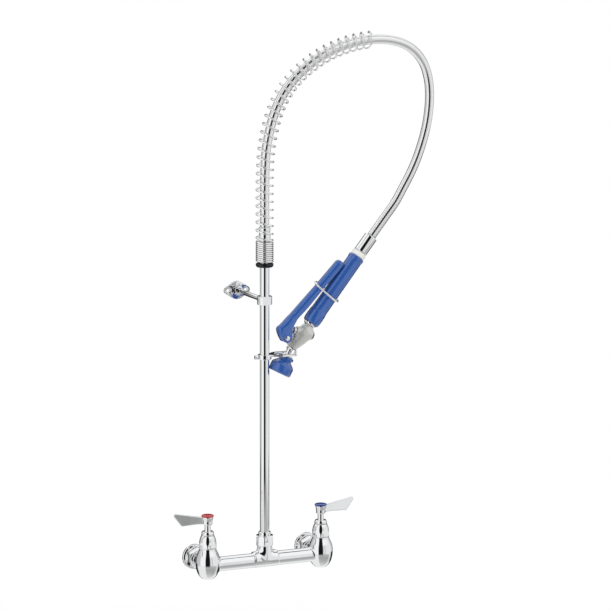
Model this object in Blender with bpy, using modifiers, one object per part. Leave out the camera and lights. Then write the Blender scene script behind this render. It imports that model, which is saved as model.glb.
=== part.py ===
"""Wall-mounted pre rinse faucet: two-handle mixing body, riser, overhead spring and squeeze sprayer.

Axes: +Z up, -Y towards the user, the wall behind at +Y.  Hot is at -X, cold at +X.
The origin is midway between the two inlet flanges, on the plane of their back faces.
Sizes below are in millimetres; the meshes are built in metres.
"""
import math

import bmesh
import bpy
import numpy as np
from mathutils import Matrix, Vector

MM = 0.001

# ---- driving dimensions (mm, degrees) ----
VALVE_CENTRES = 203.2        # 8 inch centres between hot and cold
BODY_DEPTH = 60.0            # inlet back face to the riser axis
RISER_RADIUS = 7.7
RISER_BOTTOM = 10.0
RISER_TOP = 503.0
TUBE_RADIUS = 11.8
BULB_RADIUS = 20.2
BONNET_BASE = 27.7
NUT_CLOCK = -24.0            # bonnets and riser nut stand with a corner towards the front left
HANDLE_BASE = 66.6
CAP_TOP = 83.6
INLET_FLANGE_RADIUS = 21.0
INLET_SOCKET_RADIUS = 9.0
BRACKET_HEIGHT = 431.4
BRACKET_REACH = 117.0        # riser axis to the back of the wall flange
COLLAR_FLAT = 9.9            # riser axis to the flat on the front of the bracket's collar
HOOK_HEIGHT = 338.4          # underside of the hook's fork
HOOK_REACH = 50.5
FORK_GAP = 24.0
HOSE_RADIUS = 7.4
COIL_RADIUS = 13.2           # spring: centre of the wire to the hose's centre line
WIRE_RADIUS = 1.4
CLOSE_TURNS = 9
CLOSE_PITCH = 3.35
OPEN_PITCH = 13.15
POINTS_PER_TURN = 8
SPRING_BASE = 493.8
SPRAYER_TILT = 38.7          # handle axis from the vertical
SPRAYER_ORIGIN = (166.0, 493.4)   # X and Z of the handle axis at the top of the grip
NOZZLE_TILT = 28.0
NOZZLE_ORIGIN = (42.2, 340.6)     # X and Z where the nozzle stem passes the fork
JETS = 8                     # spray holes in the face, on one circle
JET_CIRCLE = 9.0
CLEARANCE = 0.3              # between faces that touch on the real faucet
FINE, PLAIN, SMALL, TINY = 18, 14, 10, 8      # sides of a round piece, by its size

# The hose's centre line from its lower ferrule over the top to the hose-end sleeve, as X and Z
# in the plane of the riser: chosen by hand, with a smooth curve run through it.
HOSE_ROUTE = (
    (0, 552), (0, 580), (0, 612), (0.6, 644), (2.8, 676), (8.4, 706), (17.2, 736), (30.5, 763),
    (50.5, 788.5), (76, 810), (105, 827.5), (135, 839.5), (165, 846.8), (194, 849.6), (222, 848),
    (249, 840.5), (270, 827), (285, 808), (293.5, 785), (296.8, 760), (296, 734), (291.8, 706),
    (284.3, 678), (274, 650), (262, 625), (248.2, 601.5), (234.5, 579), (216.1, 555.8), (203, 539.5),
    (192.3, 526.2),
)
SPRING_END_X = 190.0         # the spring ends over the hose's crown

HOT_X = -VALVE_CENTRES / 2
COLD_X = VALVE_CENTRES / 2
RISER_Y = -BODY_DEPTH
TILT = math.radians(SPRAYER_TILT)
NOZZLE_ANGLE = math.radians(NOZZLE_TILT)

FINISHES = {
    "chrome": ((0.80, 0.81, 0.83), 0.08, 1.0),
    "satin_casting": ((0.39, 0.39, 0.38), 0.42, 0.7),
    "blue_rubber": ((0.022, 0.085, 0.32), 0.48, 0.0),
    "red_plastic": ((0.55, 0.03, 0.03), 0.3, 0.0),
    "blue_plastic": ((0.02, 0.05, 0.33), 0.3, 0.0),
    "white_plastic": ((0.82, 0.82, 0.80), 0.35, 0.0),
    "black_rubber": ((0.02, 0.02, 0.02), 0.6, 0.0),
    "brass": ((0.75, 0.52, 0.22), 0.3, 1.0),
    "steel": ((0.56, 0.57, 0.58), 0.25, 1.0),
    "braided_hose": ((0.62, 0.63, 0.64), 0.3, 0.9),
}


# ---- scene and object helpers ----
def clear_scene():
    for thing in list(bpy.data.objects):
        bpy.data.objects.remove(thing, do_unlink=True)


def collection(name):
    group = bpy.data.collections.new(name)
    bpy.context.scene.collection.children.link(group)
    return group


def finish_material(name):
    material = bpy.data.materials.get(name)
    if material is None:
        colour, roughness, metallic = FINISHES[name]
        material = bpy.data.materials.new(name)
        material.use_nodes = True
        shader = material.node_tree.nodes["Principled BSDF"]
        shader.inputs["Base Color"].default_value = (*colour, 1.0)
        shader.inputs["Roughness"].default_value = roughness
        shader.inputs["Metallic"].default_value = metallic
    return material


def metres(point):
    return Vector(point) * MM


def place(thing, at=(0, 0, 0), turn=(0, 0, 0), frame=None):
    thing.location = metres(at)
    thing.rotation_euler = turn
    thing.parent = frame
    return thing


def add_mesh(name, mesh, finish=None):
    thing = bpy.data.objects.new(name, mesh)
    PARTS.objects.link(thing)
    if finish:
        mesh.materials.append(finish_material(finish))
    return thing


def make_cutter(thing):
    thing.hide_render = True
    thing.display_type = "WIRE"
    PARTS.objects.unlink(thing)
    CUTTERS.objects.link(thing)
    return thing


def combine(target, tool, operation="DIFFERENCE"):
    """Cut, join or intersect target with tool, which then serves only as a cutter."""
    modifier = target.modifiers.new(operation.title(), "BOOLEAN")
    modifier.operation = operation
    modifier.solver = "EXACT"
    modifier.object = make_cutter(tool)
    return target


def runs_down_outside(profile):
    """Put a (radius, height) profile in the order that gives faces pointing out."""
    pairs = zip(profile, profile[1:] + profile[:1])
    area = sum(r1 * z2 - r2 * z1 for (r1, z1), (r2, z2) in pairs)
    return profile if area < 0 else profile[::-1]


def turned(name, profile, finish=None, sides=PLAIN, ring=False):
    """Turn (radius, height) points about Z; ring joins the profile's last point to its first."""
    profile = runs_down_outside(list(profile))
    mesh = bpy.data.meshes.new(name)
    points = [(radius * MM, 0, height * MM) for radius, height in profile]
    edges = [(i, i + 1) for i in range(len(points) - 1)]
    if ring:
        edges.append((len(points) - 1, 0))
    mesh.from_pydata(points, edges, [])
    thing = add_mesh(name, mesh, finish)
    screw = thing.modifiers.new("Turn", "SCREW")
    screw.steps = screw.render_steps = sides
    screw.use_merge_vertices = True
    screw.merge_threshold = 1e-6
    screw.use_smooth_shade = True
    return thing


def sleeve(name, outer, inner, low, high, finish=None, sides=PLAIN, chamfer=0.0):
    """A plain ring or tube about Z, with small chamfers on its outer edges if it shows."""
    if chamfer:
        profile = [(inner, high), (outer - chamfer, high), (outer, high - chamfer),
                   (outer, low + chamfer), (outer - chamfer, low), (inner, low)]
    else:
        profile = [(inner, high), (outer, high), (outer, low), (inner, low)]
    return turned(name, profile, finish, sides, ring=True)


def rod(name, radius, low, high, finish=None, sides=PLAIN):
    """A round bar along Z."""
    shape = bmesh.new()
    bmesh.ops.create_cone(shape, cap_ends=True, segments=sides, radius1=radius * MM,
                          radius2=radius * MM, depth=(high - low) * MM)
    bmesh.ops.translate(shape, verts=shape.verts, vec=(0, 0, (low + high) / 2 * MM))
    mesh = bpy.data.meshes.new(name)
    shape.to_mesh(mesh)
    shape.free()
    return add_mesh(name, mesh, finish)


def hexagon(name, across_flats, low, high, finish=None, bevel=0.8, clock=0.0):
    """A hexagon about Z, clocked in degrees from a corner on Y."""
    thing = rod(name, across_flats / math.sqrt(3), low, high, finish, sides=6)
    thing.data.transform(Matrix.Rotation(math.radians(clock), 4, "Z"))
    if bevel:
        soften(thing, bevel)
    return thing


def box(name, low, high, finish=None):
    shape = bmesh.new()
    bmesh.ops.create_cube(shape, size=1.0)
    size = [(b - a) * MM for a, b in zip(low, high)]
    centre = [(a + b) / 2 * MM for a, b in zip(low, high)]
    bmesh.ops.scale(shape, verts=shape.verts, vec=size)
    bmesh.ops.translate(shape, verts=shape.verts, vec=centre)
    mesh = bpy.data.meshes.new(name)
    shape.to_mesh(mesh)
    shape.free()
    return add_mesh(name, mesh, finish)


def soften(thing, width, segments=1):
    bevel = thing.modifiers.new("Soft edges", "BEVEL")
    bevel.width = width * MM
    bevel.segments = segments
    bevel.limit_method = "ANGLE"
    return thing


def curve_to_mesh(curve_object, finish):
    """Turn a curve object into one welded mesh object under the same name."""
    name = curve_object.name
    graph = bpy.context.evaluated_depsgraph_get()
    mesh = bpy.data.meshes.new_from_object(curve_object.evaluated_get(graph))
    shape = bmesh.new()
    shape.from_mesh(mesh)
    bmesh.ops.remove_doubles(shape, verts=shape.verts, dist=1e-6)
    shape.to_mesh(mesh)
    shape.free()
    matrix = curve_object.matrix_world.copy()
    curve = curve_object.data
    bpy.data.objects.remove(curve_object, do_unlink=True)
    bpy.data.curves.remove(curve)
    mesh.name = name
    thing = add_mesh(name, mesh, finish)
    thing.matrix_world = matrix
    return thing


def plate(name, outline, thickness, finish=None):
    """A flat outline in XY (mm), given its thickness about Z = 0."""
    curve = bpy.data.curves.new(name, "CURVE")
    curve.dimensions = "2D"
    curve.fill_mode = "BOTH"
    curve.extrude = thickness / 2 * MM
    spline = curve.splines.new("POLY")
    spline.points.add(len(outline) - 1)
    for point, (x, y) in zip(spline.points, outline):
        point.co = (x * MM, y * MM, 0, 1)
    spline.use_cyclic_u = True
    thing = bpy.data.objects.new(name, curve)
    PARTS.objects.link(thing)
    return curve_to_mesh(thing, finish)


def wire(name, points, radius, finish, resolution=1, closed=False):
    """A round wire or tube along points (mm)."""
    curve = bpy.data.curves.new(name, "CURVE")
    curve.dimensions = "3D"
    curve.bevel_depth = radius * MM
    curve.bevel_resolution = resolution
    curve.use_fill_caps = not closed
    spline = curve.splines.new("POLY")
    spline.points.add(len(points) - 1)
    for point, place_mm in zip(spline.points, points):
        point.co = (*metres(place_mm), 1)
    spline.use_cyclic_u = closed
    spline.use_smooth = True
    thing = bpy.data.objects.new(name, curve)
    PARTS.objects.link(thing)
    return curve_to_mesh(thing, finish)


def arc(centre, radius, start, end, steps=6):
    """Points on an arc in a plane, angles in degrees."""
    angles = [math.radians(start + (end - start) * i / steps) for i in range(steps + 1)]
    return [(centre[0] + radius * math.cos(a), centre[1] + radius * math.sin(a)) for a in angles]


def loft(name, sections, finish):
    """Skin a row of closed sections that hold the same number of points."""
    count = len(sections[0])
    shape = bmesh.new()
    rows = [[shape.verts.new(metres(point)) for point in section] for section in sections]
    for near, far in zip(rows, rows[1:]):
        for i in range(count):
            j = (i + 1) % count
            shape.faces.new((near[i], near[j], far[j], far[i]))
    shape.faces.new(list(reversed(rows[0])))
    shape.faces.new(rows[-1])
    bmesh.ops.recalc_face_normals(shape, faces=shape.faces)
    mesh = bpy.data.meshes.new(name)
    shape.to_mesh(mesh)
    shape.free()
    return add_mesh(name, mesh, finish)


def smooth_curve(points, per_span=24):
    """Dense points on a Catmull-Rom curve through the given points."""
    points = [np.array(p, float) for p in points]
    ends = [2 * points[0] - points[1]] + points + [2 * points[-1] - points[-2]]
    dense = []
    for p0, p1, p2, p3 in zip(ends, ends[1:], ends[2:], ends[3:]):
        for step in range(per_span):
            t = step / per_span
            dense.append(0.5 * (2 * p1 + (p2 - p0) * t + (2 * p0 - 5 * p1 + 4 * p2 - p3) * t ** 2
                                + (3 * p1 - p0 - 3 * p2 + p3) * t ** 3))
    dense.append(points[-1])
    return np.array(dense)


class Route:
    """A planar curve that can be asked for its place and direction at a length along it."""

    def __init__(self, points):
        self.points = smooth_curve(points)
        steps = np.linalg.norm(np.diff(self.points, axis=0), axis=1)
        self.lengths = np.concatenate([[0], np.cumsum(steps)])
        self.total = self.lengths[-1]

    def at(self, length):
        return np.array([np.interp(length, self.lengths, self.points[:, k]) for k in (0, 1)])

    def direction(self, length, reach=6.0):
        near, far = max(length - reach, 0), min(length + reach, self.total)
        step = self.at(far) - self.at(near)
        return step / np.linalg.norm(step)


def in_riser_plane(x, z, side=0.0):
    return (x, RISER_Y + side, z)


# ---- mixing body ----
def bulb_profile():
    """A valve body's pear-shaped outline, from its flat top to the axis below."""
    shape = [(13.5, 27.4), (14.4, 24.5), (16.4, 20.0), (18.5, 15.0), (19.8, 9.5), (BULB_RADIUS, 3.9),
             (19.8, -3.5), (18.6, -9.5), (16.6, -15.0), (13.7, -19.6), (9.8, -23.4)]
    return [(0, 27.4)] + shape + [(0, -23.4)]


def faucet_body():
    body = rod("faucet_body", TUBE_RADIUS, HOT_X, COLD_X, "chrome", sides=FINE)
    place(body, in_riser_plane(0, 0), (0, math.pi / 2, 0))
    for x in (HOT_X, COLD_X):
        bulb = place(turned("bulb", bulb_profile(), sides=FINE), in_riser_plane(x, 0))
        combine(body, bulb, "UNION")
        arm = turned("inlet_arm", [(0, 45.2), (10.3, 45.2), (10.6, 44.7), (10.6, 33.0), (12.2, 32.4),
                                   (12.2, 0), (0, 0)], sides=PLAIN)
        combine(body, place(arm, in_riser_plane(x, 0), (-math.pi / 2, 0, 0)), "UNION")
    saddle = turned("saddle", [(0, 21.0), (12.4, 21.0), (14.6, 14.0), (19.2, 7.5), (19.2, -4.0),
                               (0, -4.0)], sides=FINE)
    saddle.scale = (1, 0.64, 1)
    combine(body, place(saddle, in_riser_plane(0, 0)), "UNION")
    hub = rod("hub", 12.8, -20.5, 20.5, sides=FINE)
    combine(body, place(hub, in_riser_plane(0, 0), (0, math.pi / 2, 0)), "UNION")
    spigot = turned("spigot", [(0, 33.0), (9.9, 33.0), (9.9, 22.4), (12.2, 22.2), (12.2, 0), (0, 0)],
                    sides=PLAIN)
    combine(body, place(spigot, in_riser_plane(0, 0)), "UNION")
    cut_waterways(body)
    return body


def cut_waterways(body):
    cross = rod("cross_bore", 6.0, HOT_X, COLD_X, sides=SMALL)
    combine(body, place(cross, in_riser_plane(0, 0), (0, math.pi / 2, 0)))
    riser_bore = turned("riser_bore", [(0, 40), (8.1, 40), (8.1, 9.6), (5.8, 9.6), (5.8, 0), (0, 0)],
                        sides=PLAIN)
    combine(body, place(riser_bore, in_riser_plane(0, 0)))
    for x in (HOT_X, COLD_X):
        seat = turned("valve_bore", [(0, 40), (9.6, 40), (9.6, -12.0), (0, -12.0)], sides=PLAIN)
        combine(body, place(seat, in_riser_plane(x, 0)))
        inlet = rod("inlet_bore", 6.4, 0, 60, sides=SMALL)
        combine(body, place(inlet, in_riser_plane(x, 0), (-math.pi / 2, 0, 0)))


def bonnet(side, x):
    cap = hexagon(f"{side}_bonnet", 28.0, BONNET_BASE, 49.0, "chrome", bevel=0, clock=NUT_CLOCK)
    dome = turned("dome", [(0, 49.0), (10.2, 49.0), (12.6, 44.0), (13.7, 38.5), (15.0, 36.5), (15.7, 34.0),
                           (15.7, 29.2), (14.6, 27.7), (0, 27.7)], sides=PLAIN)
    skirt = rod("skirt", 9.2, 17.0, 30.0, sides=PLAIN)
    bore = rod("stem_bore", 5.5, 10.0, 60.0, sides=SMALL)
    place(cap, in_riser_plane(x, 0))
    combine(cap, place(dome, in_riser_plane(x, 0)), "INTERSECT")
    combine(cap, place(skirt, in_riser_plane(x, 0)), "UNION")
    combine(cap, place(bore, in_riser_plane(x, 0)))


def valve_internals(side, x):
    spindle = turned(f"{side}_spindle", [(0, 76.0), (3.4, 76.0), (3.4, 66.2), (5.1, 66.2), (5.1, 18.0),
                                         (4.0, 17.0), (4.0, 7.0), (0, 7.0)], "chrome", SMALL)
    tapped = rod("spindle_thread", 2.1, 62.0, 80.0, sides=TINY)
    place(spindle, in_riser_plane(x, 0))
    combine(spindle, place(tapped, in_riser_plane(x, 0)))
    cartridge = turned(f"{side}_cartridge", [(4.4, 16.6), (9.2, 16.6), (9.2, -8.0), (3.0, -8.0),
                                             (3.0, 6.0), (4.4, 6.0)], "brass", SMALL, ring=True)
    place(cartridge, in_riser_plane(x, 0))
    place(sleeve(f"{side}_seat_seal", 9.2, 5.0, -11.6, -8.3, "black_rubber", SMALL), in_riser_plane(x, 0))
    place(sleeve(f"{side}_packing_nut", 10.4, 5.4, 49.3, 55.8, "chrome", PLAIN, 1.2), in_riser_plane(x, 0))


def lever_outline():
    """The blade's side view: radius outwards, height; a slanted tip with round corners."""
    tip_low = arc((44.6, 71.4), 3.6, -90, -38, 3)
    tip_high = arc((56.2, 86.2), 3.4, -38, 98, 5)
    return [(5.0, 67.8)] + tip_low + tip_high + [(8.0, 79.8), (5.0, 79.8)]


def handle(side, x, outwards):
    hub = turned(f"{side}_handle", [(0, 80.0), (9.7, 80.0), (9.6, 78.5), (8.4, 73.0), (7.6, 68.0),
                                    (6.9, HANDLE_BASE), (0, HANDLE_BASE)], "chrome", PLAIN)
    place(hub, in_riser_plane(x, 0))
    blade = plate("blade", lever_outline(), 4.0)
    soften(blade, 1.2)
    flip = 0.0 if outwards > 0 else math.pi
    combine(hub, place(blade, in_riser_plane(x, 0), (math.pi / 2, 0, flip)), "UNION")
    socket = turned("handle_bore", [(0, 90), (4.4, 90), (4.4, 77.0), (3.7, 77.0), (3.7, 60), (0, 60)],
                    sides=SMALL)
    combine(hub, place(socket, in_riser_plane(x, 0)))
    screw = turned(f"{side}_handle_screw", [(0, 79.4), (3.2, 79.4), (3.8, 78.6), (3.8, 77.3), (1.8, 77.3),
                                            (1.8, 64.0), (0, 64.0)], "steel", SMALL)
    place(screw, in_riser_plane(x, 0))
    index = turned(f"{side}_index_button", [(0, CAP_TOP), (8.6, CAP_TOP), (9.8, 83.0), (10.2, 81.9),
                                            (10.2, 80.4), (0, 80.4)],
                   "red_plastic" if side == "hot" else "blue_plastic", FINE)
    place(index, in_riser_plane(x, 0))


def inlet(side, x):
    """Coupling nut, washer and flanged female inlet, along +Y behind one valve body."""
    back = (-math.pi / 2, 0, 0)
    nut = hexagon(f"{side}_inlet_nut", 34.0, 33.3, 50.4, "chrome", bevel=1.0)
    bore = rod("nut_bore", 11.2, 30, 54, sides=PLAIN)
    place(nut, in_riser_plane(x, 0), back)
    combine(nut, place(bore, in_riser_plane(x, 0), back))
    place(sleeve(f"{side}_inlet_washer", 10.2, 6.6, 45.5, 46.7, "black_rubber", SMALL),
          in_riser_plane(x, 0), back)
    flange = turned(f"{side}_inlet_flange", [
        (6.6, 47.0), (10.4, 47.0), (10.4, 50.7), (17.0, 50.7), (17.6, 54.2), (20.2, 54.8),
        (INLET_FLANGE_RADIUS, 55.8), (INLET_FLANGE_RADIUS, 59.4), (20.4, BODY_DEPTH),
        (INLET_SOCKET_RADIUS, BODY_DEPTH), (INLET_SOCKET_RADIUS, 48.6), (6.6, 48.6)],
        "chrome", FINE, ring=True)
    place(flange, in_riser_plane(x, 0), back)


# ---- riser, bracket and hook ----
def riser():
    nut = hexagon("riser_nut", 27.6, 22.7, 39.7, "chrome", bevel=1.0, clock=NUT_CLOCK)
    place(nut, in_riser_plane(0, 0))
    neck = turned("nut_neck", [(0, 45.8), (9.4, 45.8), (10.2, 45.0), (10.2, 30.0), (0, 30.0)], sides=PLAIN)
    combine(nut, place(neck, in_riser_plane(0, 0)), "UNION")
    bore = turned("nut_thread", [(0, 50), (8.0, 50), (8.0, 36.4), (10.5, 36.4), (10.5, 20), (0, 20)],
                  sides=PLAIN)
    combine(nut, place(bore, in_riser_plane(0, 0)))
    place(sleeve("riser_washer", 9.9, 8.0, 33.4, 36.0, "black_rubber", PLAIN), in_riser_plane(0, 0))
    pipe = sleeve("riser_pipe", RISER_RADIUS, 5.6, RISER_BOTTOM, RISER_TOP, "chrome", FINE, 0.4)
    place(pipe, in_riser_plane(0, 0))


def diamond_outline():
    """A two-hole flange: a middle disc drawn out to two round ends."""
    middle, end, reach, slant = 15.3, 5.8, 17.4, 57.0
    right = arc((reach, 0), end, -slant, slant, 5)
    top = arc((0, 0), middle, slant, 180 - slant, 5)
    left = arc((-reach, 0), end, 180 - slant, 180 + slant, 5)
    bottom = arc((0, 0), middle, 180 + slant, 360 - slant, 5)
    return right + top + left + bottom


def wall_bracket():
    centre = in_riser_plane(0, BRACKET_HEIGHT)
    back = (-math.pi / 2, 0, 0)
    ring = sleeve("bracket_ring", 12.2, 8.0, -7.0, 7.0, "chrome", FINE, 0.9)
    place(ring, centre)
    boss = turned("boss", [(0, 20.0), (5.0, 20.0), (5.8, 19.2), (5.8, 9.5), (0, 9.5)], sides=PLAIN)
    combine(ring, place(boss, centre, back), "UNION")
    combine(ring, place(box("front_flat", (-15, -20, -10), (15, -COLLAR_FLAT, 10)), centre))
    socket = rod("rod_socket", 4.5, 12.0, 24.0, sides=SMALL)
    combine(ring, place(socket, centre, back))
    screw_hole = rod("set_screw_hole", 2.3, 7.0, 16.0, sides=TINY)
    combine(ring, place(screw_hole, centre, (0, -math.pi / 2, 0)))
    place(rod("bracket_set_screw", 2.0, 8.1, 12.0, "steel", TINY), centre, (0, -math.pi / 2, 0))
    place(rod("bracket_rod", 4.0, 12.3, BRACKET_REACH - 1.0, "chrome", PLAIN), centre, back)
    nut = hexagon("bracket_nut", 14.6, 104.0, 112.7, "chrome", bevel=0.7)
    combine(place(nut, centre, back), place(rod("nut_bore", 4.5, 100, 116, sides=SMALL), centre, back))
    flange = plate("bracket_flange", diamond_outline(), 4.0, "chrome")
    soften(flange, 0.9)
    place(flange, (0, RISER_Y + BRACKET_REACH - 2.0, BRACKET_HEIGHT), (math.pi / 2, 0, 0))
    combine(flange, place(rod("flange_bore", 4.5, 100, 120, sides=SMALL), centre, back))
    for x in (-16.0, 16.0):
        hole = rod("flange_hole", 2.6, 100, 120, sides=SMALL)
        combine(flange, place(hole, in_riser_plane(x, BRACKET_HEIGHT), back))


def fork_outline():
    """Plan of the finger hook: a web at the riser and two prongs either side of the nozzle."""
    half = FORK_GAP / 2
    slot = arc((30.0, 0), half, 90, 270, 8)
    tips_low = [(HOOK_REACH, -half), (HOOK_REACH, -half - 6.0)]
    tips_high = [(HOOK_REACH, half + 6.0), (HOOK_REACH, half)]
    return (slot + tips_low + [(24.0, -half - 6.5), (12.0, -11.0), (4.0, -9.5), (4.0, 9.5),
                               (12.0, 11.0), (24.0, half + 6.5)] + tips_high)


def finger_hook():
    base = in_riser_plane(0, HOOK_HEIGHT)
    half = FORK_GAP / 2
    fork = plate("finger_hook", fork_outline(), 3.2, "chrome")
    place(fork, (0, RISER_Y, HOOK_HEIGHT + 1.6))
    for side in (-1, 1):
        low, high = sorted((side * (half + 0.05), side * (half + 5.95)))
        tip = box("tip", (HOOK_REACH - 3.2, low, 0.2), (HOOK_REACH - 0.05, high, 10.8))
        soften(tip, 0.8)
        combine(fork, place(tip, base), "UNION")
    collar = turned("collar", [(0, 3.4), (10.6, 3.4), (11.2, 2.8), (11.2, -3.7), (10.6, -4.3), (0, -4.3)],
                    sides=PLAIN)
    combine(fork, place(collar, base), "UNION")
    combine(fork, place(rod("collar_bore", 8.0, -20, 20, sides=FINE), base))
    middle = in_riser_plane(0, HOOK_HEIGHT - 0.5)
    hole = rod("screw_hole", 2.2, 6.0, 16.0, sides=TINY)
    combine(fork, place(hole, middle, (0, -math.pi / 2, 0)))
    thumbscrew = turned("hook_thumbscrew", [(0, 17.4), (3.2, 17.4), (3.8, 16.6), (3.8, 12.4), (3.3, 11.6),
                                            (1.9, 11.6), (1.9, 8.2), (0, 8.2)], "chrome", SMALL)
    place(thumbscrew, middle, (0, -math.pi / 2, 0))


# ---- hose and spring ----
def hose_fittings():
    foot = turned("spring_seat", [(8.0, 493.3), (12.6, 493.3), (14.2, 492.2), (14.6, 489.8), (13.9, 487.2),
                                  (12.2, 486.0), (8.0, 486.0)], "steel", FINE, ring=True)
    place(foot, in_riser_plane(0, 0))
    adapter = turned("hose_adapter", [(4.6, 527.0), (8.6, 527.0), (9.3, 526.2), (9.3, 494.2), (8.0, 493.8),
                                      (8.0, 504.0), (4.6, 504.0)], "chrome", PLAIN, ring=True)
    place(adapter, in_riser_plane(0, 0))
    ferrule = turned("hose_lower_ferrule", [(4.6, 551.7), (8.3, 551.7), (9.4, 550.4), (9.4, 529.0),
                                            (8.4, 527.3), (4.6, 527.3)], "chrome", PLAIN, ring=True)
    place(ferrule, in_riser_plane(0, 0))


def hose(route):
    count = 28
    points = [in_riser_plane(*route.at(route.total * i / (count - 1))) for i in range(count)]
    wire("hose", points, HOSE_RADIUS, "braided_hose", resolution=3)


def spring_centre_line(route):
    """The curve that the coils wind about: straight up the riser, then along the hose."""
    foot = [(0.0, SPRING_BASE - 20.0), (0.0, 520.0)]
    return Route(foot + [p for p in HOSE_ROUTE if p[0] < SPRING_END_X + 40.0])


def coil_angles():
    """Turn counts and lengths along the centre line at each point of the coil."""
    wire_size = 2 * WIRE_RADIUS
    length = SPRING_BASE + 0.3 + wire_size - (SPRING_BASE - 20.0)
    turn = 0.0
    step = 1.0 / POINTS_PER_TURN
    while True:
        yield turn, length
        blend = min(max((turn - CLOSE_TURNS) / 1.5, 0.0), 1.0)
        pitch = CLOSE_PITCH + (OPEN_PITCH - CLOSE_PITCH) * blend
        turn += step
        length += pitch * step


def coil_point(line, turn, length):
    x, z = line.at(length)
    dx, dz = line.direction(length)
    angle = 2 * math.pi * turn
    inward = COIL_RADIUS * math.cos(angle)
    side = COIL_RADIUS * math.sin(angle)
    return in_riser_plane(x - dz * inward, z + dx * inward, side)


def overhead_spring(route):
    line = spring_centre_line(route)
    points = []
    for turn, length in coil_angles():
        if line.at(length)[0] > SPRING_END_X or length > line.total - 12:
            break
        points.append(coil_point(line, turn, length))
    start = np.array(points[0])
    last, before = np.array(points[-1]), np.array(points[-2])
    stub = tuple(start - np.array((0, 0, 2 * WIRE_RADIUS)))
    run_out = tuple(last + (last - before) / np.linalg.norm(last - before) * 2 * WIRE_RADIUS)
    points = [stub] + points + [run_out]
    gap = least_gap(points, WIRE_RADIUS)
    print(f"overhead_spring: {len(points)} points, least gap to itself {gap:.2f} mm")
    wire("overhead_spring", points, WIRE_RADIUS, "chrome", resolution=1)


def least_gap(points, radius):
    """Least distance between stretches of a wire more than half a turn apart, less its thickness."""
    dense = []
    for near, far in zip(points, points[1:]):
        near, far = np.array(near), np.array(far)
        dense += [near + (far - near) * i / 4 for i in range(4)]
    dense = np.array(dense)
    apart = 4 * POINTS_PER_TURN // 2
    least = min(np.linalg.norm(dense[i + apart:] - dense[i], axis=1).min()
                for i in range(len(dense) - apart))
    return least - 2 * radius


# ---- sprayer: built along its own axes, then hung by one empty ----
# Local Z runs up the handle to the hose, local -X faces the squeeze lever, Y is across.
def sprayer_frame(name, tilt, origin):
    frame = bpy.data.objects.new(name, None)
    PARTS.objects.link(frame)
    return place(frame, in_riser_plane(*origin), (0, tilt, 0))


def hose_end(frame):
    sleeve_profile = [(4.4, 41.4), (8.2, 41.4), (10.6, 40.6), (11.1, 39.4), (11.1, 9.8), (10.4, 8.7),
                      (6.2, 8.7), (6.2, -13.0), (4.4, -13.0)]
    place(turned("hose_end_sleeve", sleeve_profile, "chrome", FINE, ring=True), frame=frame)
    place(sleeve("swivel_collar", 12.1, 6.5, -0.4, 8.4, "white_plastic", FINE, 1.0), frame=frame)


def handle_and_grip(frame):
    tube = turned("handle_tube", [(6.6, -0.8), (9.4, -0.8), (9.4, -135.0), (10.2, -135.3), (10.2, -137.2),
                                  (9.4, -139.0), (4.6, -139.0), (4.6, -16.0), (6.6, -16.0)],
                  "chrome", PLAIN, ring=True)
    place(tube, frame=frame)
    grip = turned("grip", [(9.7, -0.8), (12.6, -0.8), (13.5, -1.9), (13.5, -5.6), (12.9, -7.0),
                           (13.1, -60.0), (13.5, -108.0), (14.3, -113.0), (14.5, -126.0), (14.0, -132.5),
                           (12.6, -134.8), (9.7, -134.8)], "blue_rubber", FINE, ring=True)
    place(grip, frame=frame)


VALVE_TILT = math.radians(20.0)       # the valve's cross bore, from square to the handle
VALVE_AXIS = (0.0, -154.9)            # local X and Z where that bore crosses the handle axis
PLUNGER_TIP = 24.9                    # along that bore, at rest
PUSH_PIN_RADIUS = 2.0
TRUNK_CENTRE = (2.4, -151.0)          # local X and Z of the casting's widest place
TRUNK_LEAN = math.radians(7.2)        # its own axis leans to the lever at the nozzle
TRUNK_NARROWING = 0.82                # across the handle it is narrower
PIVOT = (-22.1, -179.5)               # local X and Z of the lever's bolt


def cross_valve(thing, frame):
    """Lay a part made about Z along the valve's cross bore, its +Z towards the lever."""
    return place(thing, (VALVE_AXIS[0], 0, VALVE_AXIS[1]), (0, -math.pi / 2 - VALVE_TILT, 0), frame)


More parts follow.
